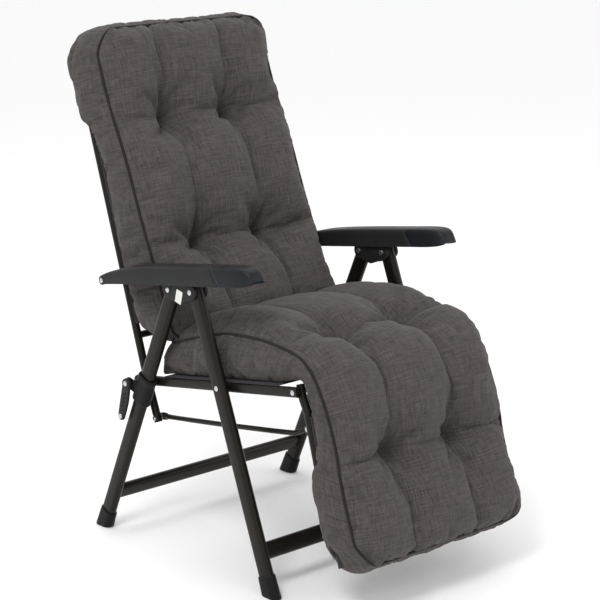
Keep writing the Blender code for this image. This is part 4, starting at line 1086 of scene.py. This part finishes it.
def quilting(x, a, length, tufts, rows, size):
    """Height of the quilted front over its piping, from x across and a along.

    A pillow that rises from the edges, less a soft valley along each seam line through the tufts, less a deep
    dimple at each tuft, plus folds that fan out from the tufts and small puckers along the piping."""
    side_gap = size.half_width - np.abs(x)
    end_gap = np.minimum(a, length - a)
    rise = pillow(side_gap, 0.060) * pillow(end_gap, 0.060)
    height = size.crown * rise
    nearest = np.min([np.abs(a - row) for row in rows], axis=0)
    column = np.abs(np.abs(x) - size.tuft_x)
    across_valley = np.exp(-((column / 0.017) ** 1.4)) * 0.011
    row_valley = np.exp(-((nearest / 0.017) ** 1.4)) * 0.011
    bulge = 0.010 * (1 - np.exp(-((column / 0.045) ** 2))) * (1 - np.exp(-((nearest / 0.060) ** 2)))
    height = height + rise * (bulge - across_valley) - rise**0.5 * row_valley
    for i, (tx, ta, depth) in enumerate(tufts):
        dx, da = x - tx, a - ta
        r = np.hypot(dx, da) + 1e-6
        turn = np.arctan2(da, dx)
        height -= depth * (0.50 * np.exp(-((r / 0.026) ** 1.3)) + 0.50 * np.exp(-((r / 0.062) ** 2)))
        fan = np.cos(turn * 9 + i * 1.9 + 5 * r / 0.1) * np.exp(-(((r - 0.042) / 0.024) ** 2))
        wide = np.cos(turn * 6 + i * 2.7 + 1.2 * np.sin(turn * 2 + i)) * np.exp(-(((r - 0.070) / 0.036) ** 2))
        height += rise * (0.0024 * fan + 0.0034 * wide)
    pucker = np.exp(-np.maximum(np.minimum(side_gap, end_gap), 0) / 0.018) * rise
    height += pucker * 0.0022 * ripple(a + np.sign(x) * 0.3, x, 1.0)
    height += rise * 0.0013 * ripple(a * 0.31, x * 0.5, 2.0) + rise * 0.0010 * ripple(x * 0.42, a * 0.4, 3.0)
    return height


def end_spacing(length, step, start_radius, end_radius):
    """Running lengths with even steps, closer together inside the rounded corners at either end."""
    turn = np.linspace(0, np.pi / 2, 12)
    first = start_radius * (1 - np.cos(turn)) if start_radius else np.array([0.0])
    last = length - (end_radius * (1 - np.cos(turn)))[::-1] if end_radius else np.array([length])
    count = max(2, int(round((last[0] - first[-1]) / step)))
    return np.concatenate([first, np.linspace(first[-1], last[0], count + 1)[1:-1], last])


def corner_width(a, length, half, start_radius, end_radius):
    """Half width of the panel at each length: full, but a quarter circle in from each rounded end."""
    width = np.full_like(a, half)
    for radius, gap in ((start_radius, a), (end_radius, length - a)):
        if radius:
            q = np.clip(1 - gap / radius, 0, 1)
            width -= radius * (1 - np.sqrt(np.clip(1 - q**2, 0, 1)))
    return width


def border_of(grid):
    """The closed loop of a grid's edge points: up one side, across the top, down the other side and back."""
    return np.concatenate([grid[:, 0], grid[-1, 1:], grid[::-1, -1][1:], grid[0, ::-1][1:]])


def pad_patches(lines, size, heights, end_radius, cover, swell, seed, bands=14):
    """Front, side band and rear of a pad as three grids that share their edges.

    Front: the piping line plus its normal times the quilting height. Rear: the rear line, plain. Band: straight
    between the borders, pushed outwards by swell * sin(pi t)^0.8, with gathers that run in from the piping."""
    edge_line, rear_line, normal, a, length = lines
    columns = int(round(2 * size.half_width / size.step))
    u = np.linspace(-1, 1, columns + 1)
    width = corner_width(a, length, size.half_width, PAD_CORNER, end_radius)
    x = width[:, None] * u[None, :]
    lift = heights(x, np.broadcast_to(a[:, None], x.shape))[..., None]
    front = with_x(x, edge_line[:, None] + normal[:, None] * lift)
    grow = 1.012 + 0.040 * cover
    rear = with_x(x * grow[:, None], np.broadcast_to(rear_line[:, None], (*x.shape, 2)))
    uv_front = np.stack([x, np.broadcast_to(a[:, None], x.shape)], -1)
    outer, inner = border_of(front), border_of(rear)
    along = distances(outer)
    t = np.linspace(0, 1, bands + 1)
    centre = with_x(0.0, edge_line)
    middle = border_of(np.broadcast_to(centre[:, None], front.shape))
    flat = outer - middle
    loop_tangent = np.gradient(outer, axis=0)
    depth_way = inner - outer
    out = np.cross(loop_tangent, depth_way)
    out /= np.maximum(np.linalg.norm(out, axis=1), 1e-9)[:, None]
    facing = np.sign((out * flat).sum(1))
    ends = np.abs(flat).sum(1) < 1e-6
    facing[ends] = 0
    sign = np.sign(np.median(facing[facing != 0]))
    out *= sign
    push = swell * np.sin(np.pi * t) ** 0.8
    fade = np.exp(-t / 0.30) * np.sin(np.pi * np.clip(t * 2.2, 0, 0.5))
    gather = 0.0026 * ripple(along, along * 0.2, seed)[:, None] * fade[None]
    fold = 0.0022 * ripple(along * 0.42, along * 0.1, seed + 3)[:, None] * np.sin(np.pi * t)[None]
    offset = push[None] + gather + fold
    offset[:, 0] = 0
    offset[:, -1] = 0
    straight = outer[:, None] * (1 - t)[None, :, None] + inner[:, None] * t[None, :, None]
    band = straight + out[:, None] * offset[..., None]
    band[-1] = band[0]
    deep = float(np.median(np.linalg.norm(depth_way, axis=1)))
    uv_band = np.stack(np.broadcast_arrays(along[:, None], t[None] * deep + BAND_UV_SHIFT), -1)
    return [(front, uv_front), (band, uv_band), (rear, uv_front + REAR_UV_SHIFT)]


def piping_piece(name, line, radius):
    """The sewn cord edge: a round cord along the border, its radius pinched a little by the gathers."""
    line = np.asarray(line, float)
    run = distances(line)
    even = at_length(line, np.linspace(0, run[-1], max(24, int(run[-1] / 0.004))))
    tangent = np.gradient(even, axis=0)
    tangent /= np.linalg.norm(tangent, axis=1)[:, None]
    side = np.cross(tangent, np.array((0.0, -0.55, 0.84)))
    side[np.linalg.norm(side, axis=1) < 0.2] = (1, 0, 0)
    along = distances(even)
    pinch = 1 + 0.05 * np.sin(along * 310) * np.sin(along * 83)
    section = oval(2 * radius, 2 * radius, 12)[None] * pinch[:, None, None]
    return new_piece(name, [tube(even, side, section)], Finishes.made["piping_cord"], sharp=None)


def inflate(name, points, faces, held, cap):
    """Cloth under pressure: held points stay put, the rest swells, each moved cap * tanh(move / cap)."""
    mesh = bpy.data.meshes.new(name)
    mesh.from_pydata(points.tolist(), [], faces.tolist())
    turn_outward(mesh)
    obj = bpy.data.objects.new(name, mesh)
    bpy.context.scene.collection.objects.link(obj)
    group = obj.vertex_groups.new(name="held")
    group.add(np.flatnonzero(held).tolist(), 1.0, "REPLACE")
    cloth = obj.modifiers.new("swell", "CLOTH")
    s = cloth.settings
    s.quality = 4
    s.mass = 0.3
    s.tension_stiffness = 18
    s.compression_stiffness = 6
    s.shear_stiffness = 4
    s.bending_stiffness = 0.04
    s.tension_damping = 12
    s.compression_damping = 12
    s.air_damping = 4
    s.shrink_min = -0.075
    s.use_pressure = True
    s.uniform_pressure_force = 3.2
    s.vertex_group_mass = "held"
    s.effector_weights.gravity = 0.0
    cloth.collision_settings.use_collision = False
    cloth.point_cache.frame_start = 1
    cloth.point_cache.frame_end = CLOTH_ROUNDS
    scene = bpy.context.scene
    for step in range(1, CLOTH_ROUNDS + 1):
        scene.frame_set(step)
    seen = obj.evaluated_get(bpy.context.evaluated_depsgraph_get())
    moved = np.zeros(len(mesh.vertices) * 3)
    seen.data.vertices.foreach_get("co", moved)
    moved = moved.reshape(-1, 3)
    scene.frame_set(1)
    bpy.data.objects.remove(obj)
    bpy.data.meshes.remove(mesh)
    shift = moved - points
    far = np.linalg.norm(shift, axis=1)
    if not np.isfinite(far).all():
        raise RuntimeError(f"{name}: the cloth did not settle")
    shift *= (cap * np.tanh(far / cap) / np.maximum(far, 1e-9))[:, None]
    shift[held] = 0
    return points + shift


def even_lines(edge, rear, size):
    """A pad's piping and rear line at even running lengths a, the piping line's left-hand normals, a and the length."""
    fine_edge, fine_rear = spline(edge, 16), spline(rear, 16)
    run = distances(fine_edge)
    a = end_spacing(run[-1], size.step, PAD_CORNER, 0.050)
    along = at_length(fine_edge, a)
    behind = np.stack([np.interp(a, run, fine_rear[:, i]) for i in range(2)], -1)
    slope = np.gradient(along, axis=0)
    slope /= np.linalg.norm(slope, axis=1)[:, None]
    return along, behind, np.stack([-slope[:, 1], slope[:, 0]], -1), a, float(run[-1])


def back_lines(size):
    """The back pad's lines, from its foot in the crease to its rounded top, and the distance up the back."""
    edge = np.array(
        (
            (0.046, 0.128), (0.120, 0.120), (0.200, 0.113), (0.280, 0.104), (0.352, 0.098), (0.460, 0.091),
            (0.571, 0.076), (0.645, 0.072), (0.700, 0.072), (0.745, 0.074),
        )
    )
    rear = np.array(
        (
            (0.085, 0.030), (0.128, 0.016), (0.200, 0.0145), (0.280, 0.0145), (0.352, 0.0145), (0.460, 0.0142),
            (0.571, -0.0190), (0.645, -0.0225), (0.705, -0.0225), (0.748, -0.0080),
        )
    )
    along, behind, lift, a, length = even_lines(edge, rear, size)
    normal = lift[:, :1] * BACK_DIR + lift[:, 1:] * BACK_FRONT
    return (back_point(*along.T), back_point(*behind.T), normal, a, length), along[:, 0]


def seat_lines(size):
    """The lines of the seat and footrest pad, over and under the knee, from the crease to the foot end."""
    edge = np.array(
        (
            (0.1290, 0.4560), (0.0873, 0.4740), (0.0373, 0.4910), (-0.0090, 0.5060), (-0.0547, 0.5180),
            (-0.1130, 0.5250), (-0.1707, 0.5280), (-0.2240, 0.5255), (-0.2650, 0.5200), (-0.3000, 0.5080),
            (-0.3320, 0.4790), (-0.3560, 0.4400), (-0.3750, 0.4000), (-0.3900, 0.3600), (-0.4000, 0.3250),
            (-0.4075, 0.2900), (-0.4240, 0.2350), (-0.4420, 0.1850), (-0.4580, 0.1400), (-0.4670, 0.1120),
        )
    )
    rear = np.array(
        (
            (0.1600, 0.3830), (0.1080, 0.3970), (0.0600, 0.4045), (0.0150, 0.4120), (-0.0350, 0.4200),
            (-0.0950, 0.4297), (-0.1500, 0.4388), (-0.2050, 0.4479), (-0.2400, 0.4540), (-0.2680, 0.4640),
            (-0.2980, 0.4690), (-0.3150, 0.4530), (-0.3240, 0.4250), (-0.3340, 0.3850), (-0.3420, 0.3480),
            (-0.3400, 0.3060), (-0.3430, 0.2560), (-0.3560, 0.2050), (-0.3690, 0.1540), (-0.3900, 0.0880),
        )
    )
    along, behind, lift, a, length = even_lines(edge, rear, size)
    return along, behind, -lift, a, length


def nearest_length(line, a, point):
    return float(a[np.argmin(np.linalg.norm(line - np.asarray(point), axis=1))])


def quilted_pad(name, patches, tufts, cap):
    """A pad stitched from its patches, swelled by the cloth run, and the border that its piping follows."""
    points, faces, uvs, numbers = weld(patches)
    x_grid, a_grid = patches[0][1][..., 0], patches[0][1][..., 1]
    held = np.zeros(len(points), bool)
    held[border_of(numbers[0])] = True
    held[numbers[2].reshape(-1)] = True
    for tx, ta, _ in tufts:
        held[numbers[0][np.hypot(x_grid - tx, a_grid - ta) < TUFT_HOLD]] = True
    points = inflate(name, points, faces, held, cap)
    pad = finish_mesh(name, skin_mesh(name, points, faces, uvs), Finishes.made["pad_fabric"])
    return pad, border_of(points[numbers[0]])[:-2]


class CHAIR_OT_back_pad(bpy.types.Operator):
    """Builds the quilted back pad, its piping and the pocket that hangs over the frame's top."""

    bl_idname = "chair.back_pad"
    bl_label = "Back pad"

    def execute(self, context):
        size = context.scene.chair_pads
        lines, s = back_lines(size)
        a, length = lines[3:]
        rows = [float(np.interp(at, s, a)) for at in (0.255, 0.537)]
        depths = [size.tuft_depth * k for k in (1.05, 0.98)]
        tufts = [(way * size.tuft_x, row, depth) for row, depth in zip(rows, depths) for way in (-1, 1)]
        cover = smooth_step((s - 0.548) / 0.020)

        def heights(x, along):
            body = quilting(x, along, length, tufts, rows, size)
            low = np.exp(-((along / 0.11) ** 2))
            return body + 0.026 * low * pillow(size.half_width - np.abs(x), 0.16)

        patches = pad_patches(lines, size, heights, 0.055, cover, 0.009, 1.0)
        pad, border = quilted_pad("back_pad", patches, tufts, 0.022)
        settle(pad, "back_frame", "pad_fabric", "back_cushion")
        settle(piping_piece("back_pad_piping", border, size.piping), "back_frame", "pad_fabric")
        return {"FINISHED"}


class CHAIR_OT_seat_pads(bpy.types.Operator):
    """Builds the quilted seat and footrest pad, one piece that bends over the knee, and its piping."""

    bl_idname = "chair.seat_pads"
    bl_label = "Seat and footrest pads"

    def execute(self, context):
        size = context.scene.chair_pads
        lines = seat_lines(size)
        edge, rear, _, a, length = lines
        rows = [nearest_length(edge, a, point) for point in ((-0.2387, 0.5235), (-0.4015, 0.3130))]
        tufts = [(way * size.tuft_x, row, size.tuft_depth * 0.80) for row in rows for way in (-1, 1)]
        cover = smooth_step((0.315 - rear[:, 1]) / 0.040) * (rear[:, 0] < -0.28)

        def heights(x, along):
            return quilting(x, along, length, tufts, rows, size)

        patches = pad_patches(lines, size, heights, 0.050, cover, 0.010, 2.0)
        pad, border = quilted_pad("seat_and_footrest_pad", patches, tufts, 0.020)
        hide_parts("seat_cushion", "footrest_cushion")
        piping = piping_piece("seat_and_footrest_piping", border, size.piping)
        for piece in (pad, piping):
            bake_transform(piece)
        return {"FINISHED"}


# ---------------------------------------------------------------- studio
class CHAIR_OT_studio(bpy.types.Operator):
    """Builds the pale floor, the soft lights and the camera."""

    bl_idname = "chair.studio"
    bl_label = "Studio"

    def execute(self, context):
        scene = context.scene
        colours = scene.chair_colours
        material = bpy.data.materials.new("pale_floor")
        material.use_nodes = True
        shader = material.node_tree.nodes["Principled BSDF"]
        shader.inputs["Base Color"].default_value = (*colours.floor, 1.0)
        shader.inputs["Roughness"].default_value = 0.8
        shader.inputs["Specular IOR Level"].default_value = 0.1
        side = np.linspace(-30, 30, 5)
        grid_x, grid_y = np.meshgrid(side, side, indexing="ij")
        flat = np.stack([grid_x, grid_y, np.full_like(grid_x, -0.0006)], -1)
        floor = patch_piece("floor", [(flat, flat[..., :2])], material)
        if floor.data.polygons[0].normal.z < 0:
            floor.data.flip_normals()
        world = bpy.data.worlds.new("soft studio")
        scene.world = world
        world.use_nodes = True
        world.node_tree.nodes["Background"].inputs["Color"].default_value = (1.0, 1.0, 1.0, 1.0)
        world.node_tree.nodes["Background"].inputs["Strength"].default_value = 1.0
        for name, place, target, width, power in (
            ("key", (-2.4, -1.2, 3.3), (0.0, 0.0, 0.5), 1.2, 62.0),
            ("fill", (2.8, -2.6, 1.8), (0.0, 0.0, 0.5), 2.0, 14.0),
            ("top", (0.4, 1.4, 3.4), (0.0, 0.0, 0.6), 2.0, 16.0),
        ):
            data = bpy.data.lights.new(name, "AREA")
            data.shape = "DISK"
            data.size = width
            data.energy = power
            light = bpy.data.objects.new(name, data)
            light.location = place
            way = np.array(target) - np.array(place)
            light.rotation_euler = (
                math.atan2(math.hypot(way[0], way[1]), -way[2]), 0.0, math.atan2(way[1], way[0]) - math.pi / 2
            )
            scene.collection.objects.link(light)
        data = bpy.data.cameras.new("camera")
        data.lens = 119.44
        data.sensor_width = 36.0
        data.shift_y = -0.0255
        camera = bpy.data.objects.new("camera", data)
        camera.location = (-2.827, -3.1374, 1.606)
        camera.rotation_euler = (math.radians(90 - 13.72), 0.0, math.radians(-42.26))
        scene.collection.objects.link(camera)
        scene.camera = camera
        scene.view_settings.view_transform = "Standard"
        return {"FINISHED"}


class CHAIR_PT_panel(bpy.types.Panel):
    """Lists the chair's sizes, colours and pieces in the sidebar."""

    bl_idname = "CHAIR_PT_panel"
    bl_label = "Folding Recliner Chair"
    bl_space_type = "VIEW_3D"
    bl_region_type = "UI"
    bl_category = "Chair"

    def draw(self, context):
        layout = self.layout
        for group in (context.scene.chair_frame, context.scene.chair_pads, context.scene.chair_colours):
            box = layout.box()
            for name in group.bl_rna.properties.keys():
                if name not in ("rna_type", "name"):
                    box.prop(group, name)
        for operator in BUILD_ORDER:
            layout.operator(operator.bl_idname)


BUILD_ORDER = (
    CHAIR_OT_legs,
    CHAIR_OT_hubs,
    CHAIR_OT_collars,
    CHAIR_OT_bolts,
    CHAIR_OT_frames,
    CHAIR_OT_slings,
    CHAIR_OT_armrests,
    CHAIR_OT_back_pad,
    CHAIR_OT_seat_pads,
    CHAIR_OT_studio,
)
PROPERTY_GROUPS = (ChairFrameSizes, ChairPadSizes, ChairColours)


def register():
    for group in PROPERTY_GROUPS:
        bpy.utils.register_class(group)
    for operator in BUILD_ORDER:
        bpy.utils.register_class(operator)
    bpy.utils.register_class(CHAIR_PT_panel)
    bpy.types.Scene.chair_frame = bpy.props.PointerProperty(type=ChairFrameSizes)
    bpy.types.Scene.chair_pads = bpy.props.PointerProperty(type=ChairPadSizes)
    bpy.types.Scene.chair_colours = bpy.props.PointerProperty(type=ChairColours)


def unregister():
    del bpy.types.Scene.chair_colours
    del bpy.types.Scene.chair_pads
    del bpy.types.Scene.chair_frame
    bpy.utils.unregister_class(CHAIR_PT_panel)
    for operator in reversed(BUILD_ORDER):
        bpy.utils.unregister_class(operator)
    for group in reversed(PROPERTY_GROUPS):
        bpy.utils.unregister_class(group)


def main():
    """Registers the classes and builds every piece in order."""
    register()
    wear_materials()
    for operator in BUILD_ORDER:
        group, name = operator.bl_idname.split(".")
        getattr(getattr(bpy.ops, group), name)()


if __name__ == "__main__":
    main()
